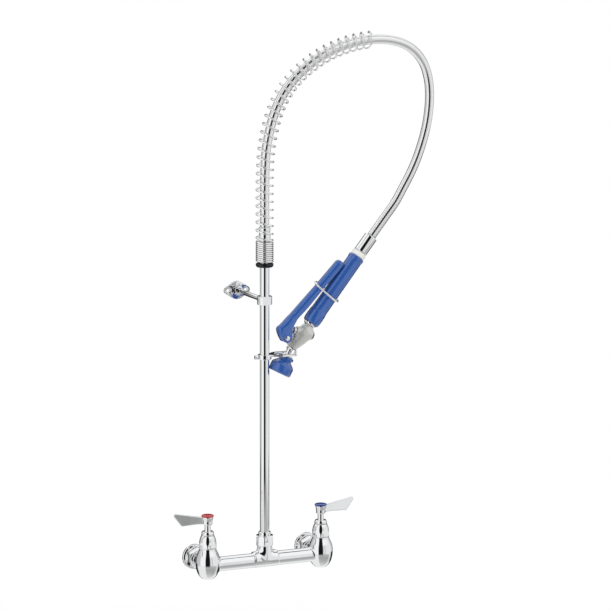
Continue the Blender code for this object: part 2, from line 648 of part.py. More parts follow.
def valve_body(frame):
    body = turned("spray_valve_body", [(0, 14.8), (6.9, 14.8), (7.6, 13.8), (8.4, 4.0), (8.4, -15.2),
                                       (7.6, -16.0), (0, -16.0)], "satin_casting", PLAIN)
    cross_valve(body, frame)
    trunk = turned("trunk", [(0, 10.7), (8.0, 10.7), (10.6, 8.0), (12.4, 4.0), (13.2, 0.0), (13.2, -6.0),
                             (12.4, -13.0), (11.0, -21.0), (9.2, -28.0), (7.8, -33.0), (7.0, -35.4),
                             (0, -35.4)], sides=FINE)
    trunk.scale = (1, TRUNK_NARROWING, 1)
    place(trunk, (TRUNK_CENTRE[0], 0, TRUNK_CENTRE[1]), (0, TRUNK_LEAN, 0), frame)
    combine(body, trunk, "UNION")
    combine(body, place(rod("neck", 7.8, -152.0, -139.3, sides=SMALL), frame=frame), "UNION")
    combine(body, cross_valve(rod("spot_face", 7.6, -30.0, -16.0, sides=PLAIN), frame))
    lug = plate("lug", arc(PIVOT, 5.6, 40, 205, 8) + [(-8.0, -186.0), (0.0, -184.0), (0.0, -166.0)], 5.8)
    combine(body, place(lug, frame=frame, turn=(math.pi / 2, 0, 0)), "UNION")
    across = (math.pi / 2, 0, 0)
    bolt_hole = rod("bolt_hole", 2.6, -10, 10, sides=SMALL)
    combine(body, place(bolt_hole, (PIVOT[0], 0, PIVOT[1]), across, frame))
    waterway = rod("waterway", 4.2, -190, -138, sides=SMALL)
    combine(body, place(waterway, frame=frame))
    cross_bore = rod("cross_bore", 5.4, -20, 20, sides=PLAIN)
    combine(body, cross_valve(cross_bore, frame))


def valve_internals_of_sprayer(frame):
    cap = turned("valve_cap", [(0, -9.0), (5.1, -9.0), (5.1, -16.3), (6.8, -16.3), (6.8, -18.2), (6.0, -18.8),
                               (0, -18.8)], "black_rubber", PLAIN)
    cross_valve(cap, frame)
    cross_valve(sleeve("valve_gland_nut", 6.2, 2.9, 15.1, 19.0, "chrome", PLAIN, 1.0), frame)
    plunger = turned("valve_plunger", [(0, PLUNGER_TIP), (1.9, PLUNGER_TIP), (2.4, PLUNGER_TIP - 0.8),
                                       (2.4, 0.5), (4.8, -0.5), (4.8, -2.2), (2.0, -2.4), (2.0, -4.0),
                                       (0, -4.0)], "steel", SMALL)
    cross_valve(plunger, frame)
    turns, points_per_turn = 4, 8
    coil = [(3.7 * math.cos(2 * math.pi * i / points_per_turn),
             3.7 * math.sin(2 * math.pi * i / points_per_turn), -8.2 + 5.2 * i / (turns * points_per_turn))
            for i in range(turns * points_per_turn + 1)]
    cross_valve(wire("plunger_spring", coil, 0.4, "steel", resolution=0), frame)
    cross_valve(sleeve("valve_seal", 5.1, 2.7, 9.0, 13.0, "black_rubber", SMALL), frame)


def arch(half, rise, spring_line, steps=5):
    """Points over a half ellipse, from +Y to -Y, as width and height."""
    angles = [math.pi * i / steps for i in range(steps + 1)]
    return [(half * math.cos(a), spring_line + rise * math.sin(a)) for a in angles]


def lever_section(down, outer, inner, half, wall):
    """A U-shaped section of the lever cover, round on its outer side and open to the grip."""
    rise = min(half, (outer - inner) * 0.8)
    outside = [(half, inner)] + arch(half, rise, outer - rise) + [(-half, inner)]
    if wall:
        hollow = arch(half - wall, rise - wall, outer - rise)[::-1]
        inside = [(wall - half, inner)] + hollow + [(half - wall, inner)]
    else:
        last = len(outside) - 1
        inside = [(half * (1.4 * i / last - 0.7), inner + 0.02) for i in range(last + 1)]
    return [(-height, y, -down) for y, height in outside + inside]


def lever_core_section(down, outer, inner, half, inset):
    """The metal bar inside the cover: the cover's own section drawn in all round."""
    rise = min(half, (outer - inner) * 0.8)
    low = inner - 0.4 if down < 120 else inner + 0.4
    top = arch(half - inset, rise - inset, outer - rise)
    corners = [(half - inset, low)] + top + [(inset - half, low)]
    return [(-height, y, -down) for y, height in corners]


# Stations down the lever: distance below the top of the grip, outer and inner height from the
# handle axis, half width.
LEVER_STATIONS = (
    (23.0, 22.6, 18.4, 4.6), (24.4, 24.9, 16.4, 7.0), (27.0, 26.3, 15.3, 8.4), (28.0, 26.6, 15.2, 8.7),
    (50.0, 28.7, 16.8, 8.8), (77.0, 31.4, 19.8, 8.8), (117.0, 36.1, 22.8, 8.8), (142.0, 38.9, 26.4, 8.9),
    (150.0, 40.4, 26.2, 9.8), (162.0, 41.9, 24.4, 10.0), (168.0, 43.0, 19.2, 10.0),
    (174.0, 44.6, 15.6, 10.0), (178.0, 42.6, 14.4, 10.0), (182.5, 36.4, 15.2, 9.8),
    (185.6, 30.2, 17.8, 9.5), (186.8, 25.8, 20.8, 9.0),
)
SOLID_TIP_STATIONS = 3
RING_PLACE = 77.0                     # hold-down ring below the top of the grip
RING_LEAN = math.radians(14.0)        # it hangs lower on the near side
CORE_TIP = (30.0, 26.8, 15.4, 8.7)
COVER_WALL = 2.3


def push_pin_place():
    """Where the pin that bears on the plunger crosses the lever, on the valve's own axis."""
    out = PLUNGER_TIP + CLEARANCE + PUSH_PIN_RADIUS
    return (VALVE_AXIS[0] - out * math.cos(VALVE_TILT), 0, VALVE_AXIS[1] - out * math.sin(VALVE_TILT))


def lever(frame):
    sections = [lever_section(*station, 0 if i < SOLID_TIP_STATIONS else COVER_WALL)
                for i, station in enumerate(LEVER_STATIONS)]
    cover = loft("lever_cover", sections, "blue_rubber")
    place(cover, frame=frame)
    inset = COVER_WALL + CLEARANCE + 0.1
    stations = (CORE_TIP,) + LEVER_STATIONS[SOLID_TIP_STATIONS + 1:-1]
    core = loft("lever_core", [lever_core_section(*station, inset) for station in stations], "chrome")
    place(core, frame=frame)
    slot = box("lug_slot", (-60, -3.4, -200), (0, 3.4, -152))
    combine(core, place(slot, frame=frame))
    across = (math.pi / 2, 0, 0)
    at_pin = push_pin_place()
    combine(core, place(rod("pin_hole", 2.4, -20, 20, sides=TINY), at_pin, across, frame))
    place(rod("push_pin", PUSH_PIN_RADIUS, -6.9, 6.9, "steel", TINY), at_pin, across, frame)
    at_pivot = (PIVOT[0], 0, PIVOT[1])
    for part in (cover, core):
        combine(part, place(rod("bolt_hole", 2.7, -20, 20, sides=SMALL), at_pivot, across, frame))
    bolt = turned("pivot_bolt", [(0, 12.0), (2.6, 12.0), (3.9, 11.2), (3.9, 10.2), (2.3, 10.2), (2.3, -13.2),
                                 (0, -13.2)], "steel", PLAIN)
    place(bolt, at_pivot, across, frame)
    nut = hexagon("pivot_nut", 7.0, -13.4, -10.2, "steel", bevel=0)
    place(nut, at_pivot, across, frame)
    combine(nut, place(rod("nut_bore", 2.6, -20, 0, sides=SMALL), at_pivot, across, frame))


def hold_ring(frame):
    """A wire ring round grip and lever: a wide bend at the grip, a narrower one over the lever."""
    wide, narrow, reach, slant = 16.3, 11.6, 22.2, 78.0
    around_grip = arc((0, 0), wide, slant, 360 - slant, 12)
    over_lever = arc((reach, 0), narrow, -slant, slant, 8)
    points = [(-height, y, 0) for height, y in around_grip + over_lever]
    ring = wire("hold_ring", points, 1.5, "chrome", resolution=1, closed=True)
    place(ring, (0, 0, -RING_PLACE), (RING_LEAN, 0, 0), frame)


# ---- nozzle and bell: along the nozzle's own axis, down from the fork ----
def nozzle(frame):
    stem = turned("spray_nozzle", [
        (0, 8.4), (4.6, 8.4), (4.3, 4.0), (4.3, -3.2), (9.4, -3.8), (10.0, -4.4), (10.0, -5.8), (6.0, -5.8),
        (6.0, -22.0), (15.0, -22.2), (15.0, -26.2), (12.0, -26.2), (12.0, -24.4), (0, -24.4)], "chrome", PLAIN)
    place(stem, frame=frame)
    combine(stem, place(rod("nozzle_bore", 2.8, -30, 20, sides=SMALL), frame=frame))
    bumper = turned("bell_bumper", [
        (6.3, -6.1), (12.0, -6.1), (12.9, -7.0), (12.9, -10.0), (10.9, -12.6), (12.4, -14.4),
        (17.6, -19.6), (19.2, -22.0), (19.2, -32.8), (18.4, -34.8), (17.0, -35.6), (15.4, -35.0),
        (15.4, -21.8), (6.3, -21.8)], "blue_rubber", FINE, ring=True)
    place(bumper, frame=frame)
    face = sleeve("spray_face", 14.6, 2.2, -28.6, -26.6, "steel", PLAIN)
    place(face, frame=frame)
    for i in range(JETS):
        angle = 2 * math.pi * i / JETS
        jet = rod("jet", 0.8, -32, -22, sides=TINY)
        at = (JET_CIRCLE * math.cos(angle), JET_CIRCLE * math.sin(angle), 0)
        combine(face, place(jet, at, frame=frame))
    screw = turned("face_screw", [(0, -18.0), (1.8, -18.0), (1.8, -28.9), (3.6, -28.9), (3.6, -30.2),
                                  (2.6, -31.0), (0, -31.0)], "steel", SMALL)
    place(screw, frame=frame)


def build():
    route = Route(HOSE_ROUTE)
    print(f"hose: {route.total:.1f} mm along its centre line")
    faucet_body()
    for side, x, outwards in (("hot", HOT_X, -1), ("cold", COLD_X, 1)):
        bonnet(side, x)
        valve_internals(side, x)
        handle(side, x, outwards)
        inlet(side, x)
    riser()
    wall_bracket()
    finger_hook()
    hose_fittings()
    hose(route)
    overhead_spring(route)
    frame = sprayer_frame("sprayer_axis", TILT, SPRAYER_ORIGIN)
    hose_end(frame)
    handle_and_grip(frame)
    valve_body(frame)
    valve_internals_of_sprayer(frame)
    lever(frame)
    hold_ring(frame)
    nozzle(sprayer_frame("nozzle_axis", NOZZLE_ANGLE, NOZZLE_ORIGIN))
    bpy.context.view_layer.update()


clear_scene()
PARTS = collection("pre_rinse_faucet")
CUTTERS = collection("cutters")
build()
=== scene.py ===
"""Wall-mounted pre rinse faucet: the finish of every surface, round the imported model."""
import math
from functools import partial

import bmesh
import bpy
import numpy as np
from mathutils import Matrix, Vector


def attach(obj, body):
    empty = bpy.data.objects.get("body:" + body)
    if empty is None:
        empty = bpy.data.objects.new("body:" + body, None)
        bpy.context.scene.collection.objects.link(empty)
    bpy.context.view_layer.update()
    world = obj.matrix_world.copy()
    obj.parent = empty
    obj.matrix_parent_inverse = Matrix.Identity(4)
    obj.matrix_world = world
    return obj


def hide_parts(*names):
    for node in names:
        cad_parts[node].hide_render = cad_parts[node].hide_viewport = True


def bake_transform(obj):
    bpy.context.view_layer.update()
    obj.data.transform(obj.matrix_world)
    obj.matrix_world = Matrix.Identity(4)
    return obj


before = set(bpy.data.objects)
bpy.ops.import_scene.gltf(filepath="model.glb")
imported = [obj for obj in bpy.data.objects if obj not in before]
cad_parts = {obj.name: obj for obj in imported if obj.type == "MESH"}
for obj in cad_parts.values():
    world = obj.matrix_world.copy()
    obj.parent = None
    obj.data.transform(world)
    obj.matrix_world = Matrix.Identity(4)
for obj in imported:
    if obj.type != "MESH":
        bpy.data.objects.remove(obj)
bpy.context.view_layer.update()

# ---- Studio ----
# A white light tent, as for a catalogue picture: bright cloth all round, open at the back and in a narrow
# slot where the camera looks in, with a seam in the cloth overhead and a grey table below.
millimetre = 0.001
riser_y = -0.060
camera_azimuth, camera_pitch = 0.41349, 0.16386
camera_distance, camera_height = 5.0, 1.25025
floor_height = -0.55


def new_object(name, data):
    """An object in the scene, at the origin."""
    thing = bpy.data.objects.new(name, data)
    bpy.context.scene.collection.objects.link(thing)
    return thing


camera_data = bpy.data.cameras.new("photo_camera")
camera_data.sensor_width = 36.0
camera_data.lens = 183.7
camera_data.shift_x = 0.0662
camera_data.clip_end = 60.0
camera = new_object("photo_camera", camera_data)
camera.location = (-camera_distance * math.sin(camera_azimuth),
                   riser_y - camera_distance * math.cos(camera_azimuth), camera_height)
camera.rotation_euler = (math.pi / 2 - camera_pitch, 0, -camera_azimuth)
bpy.context.scene.camera = camera
bpy.context.scene.view_settings.view_transform = "Standard"


def colour(hex_code):
    """An sRGB hex colour as linear RGBA."""
    parts = [int(hex_code[i:i + 2], 16) / 255 for i in (1, 3, 5)]
    linear = [p / 12.92 if p <= 0.04045 else ((p + 0.055) / 1.055) ** 2.4 for p in parts]
    return (*linear, 1.0)


def set_sockets(node, sockets):
    """Each named socket takes a value, or a link from a node or from one of its outputs."""
    for key, value in sockets.items():
        if isinstance(value, bpy.types.Node):
            value = next(output for output in value.outputs if output.enabled)
        if isinstance(value, bpy.types.NodeSocket):
            node.id_data.links.new(value, node.inputs[key])
        else:
            node.inputs[key].default_value = value


def add_node(tree, kind, sockets=None, **settings):
    """A node with its settings and sockets."""
    node = tree.nodes.new(kind)
    for key, value in settings.items():
        setattr(node, key, value)
    set_sockets(node, sockets or {})
    return node


def set_ramp(node, stops):
    """Give a colour ramp its stops, as (place, hex colour)."""
    elements = node.color_ramp.elements
    while len(elements) > 1:
        elements.remove(elements[-1])
    elements[0].position, elements[0].color = stops[0][0], colour(stops[0][1])
    for place, code in stops[1:]:
        elements.new(place).color = colour(code)


# Cloth seen in the chrome, by the angle round from the camera: degrees to the right of it.
TENT_ROUND = ((-180, "#C6C6C6"), (-122, "#C6C6C6"), (-76, "#CFCFCF"), (-68, "#FAFAFA"), (-20, "#FFFFFF"),
              (20, "#E4E4E4"), (40.5, "#E9E9E9"), (41.5, "#989898"), (44.6, "#989898"), (45.6, "#EBEBEB"),
              (105, "#EFEFEF"), (125, "#CFCFCF"), (180, "#D0D0D0"))
# Where the tent is open, in the same degrees, white being open: on the dark room behind it, on more of
# that room in the gap between its lower edge and the table, and in the slot where the camera looks in.
OPEN_BACK = ((-180, "#FFFFFF"), (-138, "#FFFFFF"), (-122, "#000000"), (138, "#000000"), (150, "#FFFFFF"),
             (180, "#FFFFFF"))
OPEN_LOWER_EDGE = ((-180, "#FFFFFF"), (-120, "#FFFFFF"), (-106, "#000000"), (108, "#000000"),
                   (122, "#FFFFFF"), (180, "#FFFFFF"))
CAMERA_SLOT = ((-24, "#000000"), (-18, "#FFFFFF"), (20, "#FFFFFF"), (28, "#000000"))
# The table below by the fall of a line of sight, from just under level to straight down, and where round
# the camera it is white cloth instead: to the left and behind.
TABLE_DOWN = ((0.28, "#C0C0C0"), (0.48, "#A6A6A6"), (0.68, "#B0B0B0"), (0.83, "#C0C0C0"), (0.93, "#D2D2D2"))
TABLE_CLOTH = ((-26, "#FFFFFF"), (-14, "#000000"), (80, "#000000"), (115, "#FFFFFF"))


def light_tent():
    world = bpy.data.worlds.new("light_tent")
    bpy.context.scene.world = world
    world.use_nodes = True
    tree = world.node_tree
    tree.nodes.clear()
    add = partial(add_node, tree)
    # A line of sight's turn round the camera, as a share of the whole turn, its rise and its fall.
    direction = add("ShaderNodeTexCoord").outputs["Generated"]
    to_camera = add("ShaderNodeVectorRotate", {"Vector": direction, "Angle": camera_azimuth},
                    rotation_type="Z_AXIS")
    right, near, rise = add("ShaderNodeSeparateXYZ", {"Vector": to_camera}).outputs
    away, fall = (add("ShaderNodeMath", {0: value, 1: -1.0}, operation="MULTIPLY")
                  for value in (near, rise))
    angle = add("ShaderNodeMath", {0: right, 1: away}, operation="ARCTAN2")
    turn = add("ShaderNodeMath", {0: angle, 1: 1 / (2 * math.pi), 2: 0.5}, operation="MULTIPLY_ADD")
    # The seam runs from left to right straight overhead.
    plain = add("ShaderNodeSeparateXYZ", {"Vector": direction}).outputs
    lean = add("ShaderNodeMath", {0: plain["Y"], 1: plain["Z"]}, operation="DIVIDE")
    off_seam = add("ShaderNodeMath", {0: lean}, operation="ABSOLUTE")

    ramps = [add("ShaderNodeValToRGB", {"Fac": turn}) for _ in range(5)]
    for node, stops in zip(ramps, (TENT_ROUND, TABLE_CLOTH, OPEN_BACK, OPEN_LOWER_EDGE, CAMERA_SLOT)):
        set_ramp(node, [(degrees / 360 + 0.5, code) for degrees, code in stops])
    seen, table_side, open_back, open_edge, open_slot = ramps
    table_top = add("ShaderNodeValToRGB", {"Fac": fall})
    set_ramp(table_top, TABLE_DOWN)
    table = add("ShaderNodeMix", {"Factor": table_side, "A": table_top, "B": colour("#F2F2F2")},
                data_type="RGBA")
    # Over the cloth, one after another: white higher up, the seam, the table, the dark room behind and
    # the camera's slot. Each is whole where its ramp is open and past the end of both its bands.
    layers = ((colour("#FFFFFF"), 1.0, (rise, 0.30, 0.50)),
              (colour("#2E2E2E"), 1.0, (off_seam, 0.16, 0.09), (rise, 0.30, 0.45)),
              (table, 1.0, (fall, 0.28, 0.34)),
              (colour("#2A2A2A"), open_back, (fall, 0.54, 0.42), (rise, 0.42, 0.32)),
              (colour("#2A2A2A"), open_edge, (fall, 0.64, 0.50), (fall, 0.235, 0.255)),
              (colour("#161616"), open_slot, (fall, 0.38, 0.31), (rise, 0.97, 0.90)))
    for tint, amount, *bands in layers:
        for value, start, end in bands:
            band = add("ShaderNodeMapRange", {"Value": value, "From Min": start, "From Max": end})
            amount = add("ShaderNodeMath", {0: amount, 1: band}, operation="MULTIPLY")
        seen = add("ShaderNodeMix", {"Factor": amount, "A": seen, "B": tint}, data_type="RGBA")

    # Metal sees the tent, everything else is lit by plain white, and the camera sees a white ground.
    ray = add("ShaderNodeLightPath").outputs
    straight = add("ShaderNodeMath", {0: ray["Is Camera Ray"], 1: ray["Is Transmission Ray"]},
                   operation="MAXIMUM")
    plain_light = add("ShaderNodeBackground", {"Color": colour("#FFFFFF"), "Strength": 0.80})
    in_metal = add("ShaderNodeBackground", {"Color": seen})
    ground = add("ShaderNodeBackground", {"Color": colour("#FFFFFF")})
    light = add("ShaderNodeMixShader", {0: ray["Is Glossy Ray"], 1: plain_light, 2: in_metal})
    light = add("ShaderNodeMixShader", {0: straight, 1: light, 2: ground})
    add("ShaderNodeOutputWorld", {"Surface": light})


def soft_box(name, place, size, watts):
    lamp = bpy.data.lights.new(name, "AREA")
    lamp.shape = "SQUARE"
    lamp.size = size
    lamp.energy = watts
    thing = new_object(name, lamp)
    thing.location = place
    aim = Vector((0.1, riser_y, 0.35)) - Vector(place)
    thing.rotation_euler = aim.to_track_quat("-Z", "Y").to_euler()
    thing.visible_glossy = False


def floor():
    """A pale floor well below the faucet, which hangs on its wall; it fades to the white ground."""
    shape = bmesh.new()
    bmesh.ops.create_circle(shape, cap_ends=True, segments=96, radius=7.0)
    mesh = bpy.data.meshes.new("studio_floor")
    shape.to_mesh(mesh)
    shape.free()
    thing = new_object("studio_floor", mesh)
    thing.location = (0, 0, floor_height)
    thing.visible_glossy = False
    material = bpy.data.materials.new("pale_floor")
    material.use_nodes = True
    tree = material.node_tree
    tree.nodes.clear()
    add = partial(add_node, tree)
    place = add("ShaderNodeTexCoord").outputs["Object"]
    far = add("ShaderNodeVectorMath", {0: place}, operation="LENGTH")
    fade = add("ShaderNodeMapRange", {"Value": far, "From Min": 0.5, "From Max": 1.8,
                                      "To Min": 0.55, "To Max": 1.0})
    seen = add("ShaderNodeLightPath").outputs["Is Camera Ray"]
    share = add("ShaderNodeMath", {0: fade, 1: seen}, operation="MULTIPLY")
    paper = add("ShaderNodeBsdfDiffuse", {"Color": colour("#F4F4F4")})
    glow = add("ShaderNodeEmission", {"Color": colour("#FFFFFF")})
    mix = add("ShaderNodeMixShader", {0: share, 1: paper, 2: glow})
    add("ShaderNodeOutputMaterial", {"Surface": mix})
    mesh.materials.append(material)


light_tent()
soft_box("window_left", (-2.6, -1.6, 1.9), 1.3, 26)
soft_box("window_right", (2.4, -2.2, 1.2), 1.2, 10)
floor()

# ---- Mixing body ----
# One brass casting: a tube across, a pear-shaped valve body at each end, a flared saddle in the
# middle, ground, polished and chrome plated. Joints between its parts are run out in small fillets.
riser_mm = riser_y / millimetre
valve_centres = 203.2
hot_x, cold_x = -valve_centres / 2, valve_centres / 2
tube_radius, tube_drop = 11.8, 1.6
UP = Matrix.Identity(4)
BACK = Matrix.Rotation(-math.pi / 2, 4, "X")       # a piece's own Z laid along the frame's +Y
ACROSS = Matrix.Rotation(math.pi / 2, 4, "Y")      # along +X
OVER_BACK = Matrix.Rotation(math.pi / 2, 4, "X")   # and along -Y, so that its own Y points up


def at(x, y, z, turn=UP):
    """A place in millimetres, with a turn."""
    return Matrix.Translation((x, y, z)) @ turn


def new_material(name):
    """A material, what adds a node to its tree, and its shader."""
    material = bpy.data.materials.new(name)
    material.use_nodes = True
    tree = material.node_tree
    return material, partial(add_node, tree), tree.nodes["Principled BSDF"]


def metal_finish(name, slot, tint, roughness, smears, wave_length, wave_height, stretch=(1, 1, 1)):
    """Bare or plated metal with its slot: its tint, how dull it is, how much duller where it is handled,
    and the length and height in millimetres of the unevenness that the last tool left."""
    material, add, shader = new_material(name)
    place = add("ShaderNodeTexCoord").outputs["Object"]
    along = add("ShaderNodeMapping", {"Vector": place, "Scale": stretch})
    patches = add("ShaderNodeTexNoise", {"Vector": place, "Scale": 70.0, "Detail": 3.0})
    dull = add("ShaderNodeMapRange", {"Value": patches, "From Min": 0.4, "From Max": 0.75,
                                      "To Min": roughness, "To Max": roughness + smears})
    waves = add("ShaderNodeTexNoise", {"Vector": along, "Scale": 1000.0 / wave_length, "Detail": 1.5})
    bump = add("ShaderNodeBump", {"Height": waves, "Strength": 1.0, "Distance": wave_height * millimetre})
    set_sockets(shader, {"Base Color": colour(tint), "Metallic": 1.0, "Roughness": dull, "Normal": bump})
    return material, slot


# Buffed by hand before plating, so reflections run in slow waves about 20 mm long.
cast_chrome = metal_finish("chrome_on_buffed_casting", "chrome", "#F3F4F5", 0.03, 0.05, 20.0, 0.05)


def add_piece(name, mesh, body, finish, *replaced):
    """Hang a finished mesh on its body, with its finish and the solids that it stands for."""
    material, slot = finish
    piece = new_object(name, mesh)
    mesh.name = name
    mesh.materials.clear()
    mesh.materials.append(material)
    if body:
        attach(piece, body)
    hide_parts(*replaced)
    return piece


def smooth(mesh, sharp=38.0):
    mesh.polygons.foreach_set("use_smooth", [True] * len(mesh.polygons))
    mesh.set_sharp_from_angle(angle=math.radians(sharp))
    return mesh


def eased(points, width, closed=True):
    """Round the corners of an outline that are more than a curve's: four points where there was one."""
    least_bend, largest_share = 22, 0.45
    points = [np.array(p, float) for p in points]
    count = len(points)
    result = []
    for i, corner in enumerate(points):
        before, after = points[i - 1] - corner, points[(i + 1) % count] - corner
        near, far = np.linalg.norm(before), np.linalg.norm(after)
        bend = 180 - math.degrees(math.acos(np.clip(before @ after / (near * far), -1, 1)))
        if bend < least_bend or (not closed and i in (0, count - 1)):
            result.append(corner)
            continue
        cut = min(width, near * largest_share, far * largest_share)
        start, end = corner + before / near * cut, corner + after / far * cut
        for t in (0.0, 1 / 3, 2 / 3, 1.0):
            result.append(start * (1 - t) ** 2 + 2 * corner * t * (1 - t) + end * t ** 2)
    return [tuple(p) for p in result]


def drawn_smooth(points, per_span=5):
    """A finer line through given points, without the corners between them."""
    points = [np.array(p, float) for p in points]
    ends = [2 * points[0] - points[1]] + points + [2 * points[-1] - points[-2]]
    fine = []
    for p0, p1, p2, p3 in zip(ends, ends[1:], ends[2:], ends[3:]):
        for k in range(per_span):
            t = k / per_span
            fine.append(0.5 * (2 * p1 + (p2 - p0) * t + (2 * p0 - 5 * p1 + 4 * p2 - p3) * t ** 2
                               + (3 * p1 - p0 - 3 * p2 + p3) * t ** 3))
    return [tuple(p) for p in fine] + [tuple(points[-1])]


def finished(shape, place):
    """Put a bmesh made in millimetres where it belongs, in metres, as a mesh."""
    bmesh.ops.transform(shape, matrix=Matrix.Scale(millimetre, 4) @ place, verts=shape.verts)
    bmesh.ops.recalc_face_normals(shape, faces=shape.faces)
    mesh = bpy.data.meshes.new("blank")
    shape.to_mesh(mesh)
    shape.free()
    return smooth(mesh)


def lathe_mesh(profile, place, sides=72, edge=0.4):
    """Turn (radius, height) points about a place's own Z; a profile clear of the axis makes a ring."""
    ring = profile[0][0] > 0
    outline = eased(profile, edge, closed=ring) if edge else list(profile)
    shape = bmesh.new()
    rows = []
    for radius, height in outline:
        if radius < 1e-6:
            rows.append([shape.verts.new((0, 0, height))])
        else:
            angles = [2 * math.pi * i / sides for i in range(sides)]
            rows.append([shape.verts.new((radius * math.cos(a), radius * math.sin(a), height)) for a in angles])
    pairs = list(zip(rows, rows[1:])) + ([(rows[-1], rows[0])] if ring else [])
    for low, high in pairs:
        for i in range(sides):
            j = (i + 1) % sides
            corners = [low[i % len(low)], low[j % len(low)], high[j % len(high)], high[i % len(high)]]
            corners = [v for k, v in enumerate(corners) if v not in corners[:k]]
            if len(corners) > 2:
                shape.faces.new(corners)
    return finished(shape, place)


def oblong(near, far, low, high):
    """A plain outline: a block's, or when it is turned a ring's, or a rod's where near is 0."""
    return [(near, low), (far, low), (far, high), (near, high)]


def loft_mesh(rows, place):
    """Skin a row of closed sections that hold the same number of points."""
    shape = bmesh.new()
    rings = [[shape.verts.new(point) for point in row] for row in rows]
    shape.faces.new(rings[0][::-1])
    shape.faces.new(rings[-1])
    for near, far in zip(rings, rings[1:]):
        for i in range(len(near)):
            j = (i + 1) % len(near)
            shape.faces.new((near[i], near[j], far[j], far[i]))
    return finished(shape, place)


def prism_mesh(outline, low, high, place):
    """Raise an XY outline from one height to another."""
    return loft_mesh([[(x, y, height) for x, y in outline] for height in (low, high)], place)


def baked(thing):
    """The mesh that an object's modifiers leave; the object itself goes."""
    graph = bpy.context.evaluated_depsgraph_get()
    mesh = bpy.data.meshes.new_from_object(thing.evaluated_get(graph))
    bpy.data.objects.remove(thing)
    return mesh


def machined(mesh, *cuts, bevel=0.0, sharp=38.0):
    """Cut meshes away, or join or cross one given as (mesh, operation), then ease the edges."""
    thing = new_object("blank", mesh)
    tools = []
    for cut in cuts:
        tool, operation = cut if isinstance(cut, tuple) else (cut, "DIFFERENCE")
        tools.append(new_object("blank", tool))
        modifier = thing.modifiers.new("Cut", "BOOLEAN")
        modifier.operation = operation
        modifier.solver = "EXACT"
        modifier.object = tools[-1]
    if bevel:
        easing = thing.modifiers.new("Eased edges", "BEVEL")
        easing.width = bevel * millimetre
        easing.segments = 3
        easing.limit_method = "ANGLE"
        easing.angle_limit = math.radians(32)
    result = baked(thing)
    for tool in tools:
        bpy.data.objects.remove(tool)
    return smooth(result, sharp)


def outline_distance(points, outline):
    """Signed distance from points to a closed outline in the same plane, negative inside it."""
    corners = np.array(outline, float)
    nearest = np.full(len(points), 1e9)
    inside = np.zeros(len(points), bool)
    for a, b in zip(corners, np.roll(corners, -1, axis=0)):
        edge = b - a
        if not edge.any():
            continue
        off = points - a
        along = np.clip((off @ edge) / (edge @ edge), 0, 1)
        off = off - along[:, None] * edge
        nearest = np.minimum(nearest, np.einsum("ij,ij->i", off, off))
        if a[1] != b[1]:
            crossing = (a[1] > points[:, 1]) != (b[1] > points[:, 1])
            reach = (b[0] - a[0]) * (points[:, 1] - a[1]) / (b[1] - a[1]) + a[0]
            inside ^= crossing & (points[:, 0] < reach)
    nearest = np.sqrt(nearest)
    return np.where(inside, -nearest, nearest)


def in_place(points, place):
    return (np.c_[points, np.ones(len(points))] @ np.linalg.inv(np.array(place)).T)[:, :3]


def turned_shape(profile, place, narrow=1.0):
    """A turned part of a casting, which may be narrower across its own Y: its skin and its depth."""
    def depth(points):
        local = in_place(points, place)
        return outline_distance(np.c_[np.hypot(local[:, 0], local[:, 1] / narrow), local[:, 2]], profile)
    return lathe_mesh(profile, place @ Matrix.Diagonal((1, narrow, 1, 1)), sides=48, edge=0), depth


def slab_shape(outline, half, place, edge=1.0, thinning=0.0):
    """A flat part of a casting with round edges, which may thin out along its own X."""
    def depth(points):
        local = in_place(points, place)
        beyond = outline_distance(local[:, :2], outline) + edge
        above = np.abs(local[:, 2]) - half + thinning * np.maximum(local[:, 0], 0) + edge
        corner = np.hypot(np.maximum(beyond, 0), np.maximum(above, 0))
        return np.minimum(np.maximum(beyond, above), 0) + corner - edge
    return prism_mesh(outline, -half, half, place), depth


def casting_mesh(shapes, fillet, cell):
    """Run several parts together into one cast surface, with a fillet wherever they meet."""
    joined = bmesh.new()
    for skin, _ in shapes:
        joined.from_mesh(skin)
        bpy.data.meshes.remove(skin)
    blank = bpy.data.meshes.new("blank")
    joined.to_mesh(blank)
    joined.free()
    thing = new_object("blank", blank)
    skin = thing.modifiers.new("Skin", "REMESH")
    skin.mode = "VOXEL"
    skin.voxel_size = cell * millimetre
    mesh = baked(thing)

    def depth(points):
        total = shapes[0][1](points)
        for _, part in shapes[1:]:
            one = part(points)
            overlap = np.maximum(fillet - np.abs(total - one), 0) / fillet
            total = np.minimum(total, one) - overlap ** 2 * fillet / 4
        return total

    flat = np.empty(len(mesh.vertices) * 3)
    mesh.vertices.foreach_get("co", flat)
    points = flat.reshape(-1, 3) / millimetre
    # Draw the stepped skin onto the true surface, with its slope measured anew after every second move.
    step, longest_move, least_slope = 0.05, 1.0, 0.25
    value = depth(points)
    for _ in range(2):
        slope = np.stack([(depth(points + step * axis) - value) / step for axis in np.eye(3)], axis=1)
        slope /= np.maximum((slope ** 2).sum(axis=1), least_slope)[:, None]
        for _ in range(2):
            points = points - np.clip(value, -longest_move, longest_move)[:, None] * slope
            value = depth(points)
    mesh.vertices.foreach_set("co", (points * millimetre).ravel())
    mesh.update()
    return smooth(mesh, 50.0)


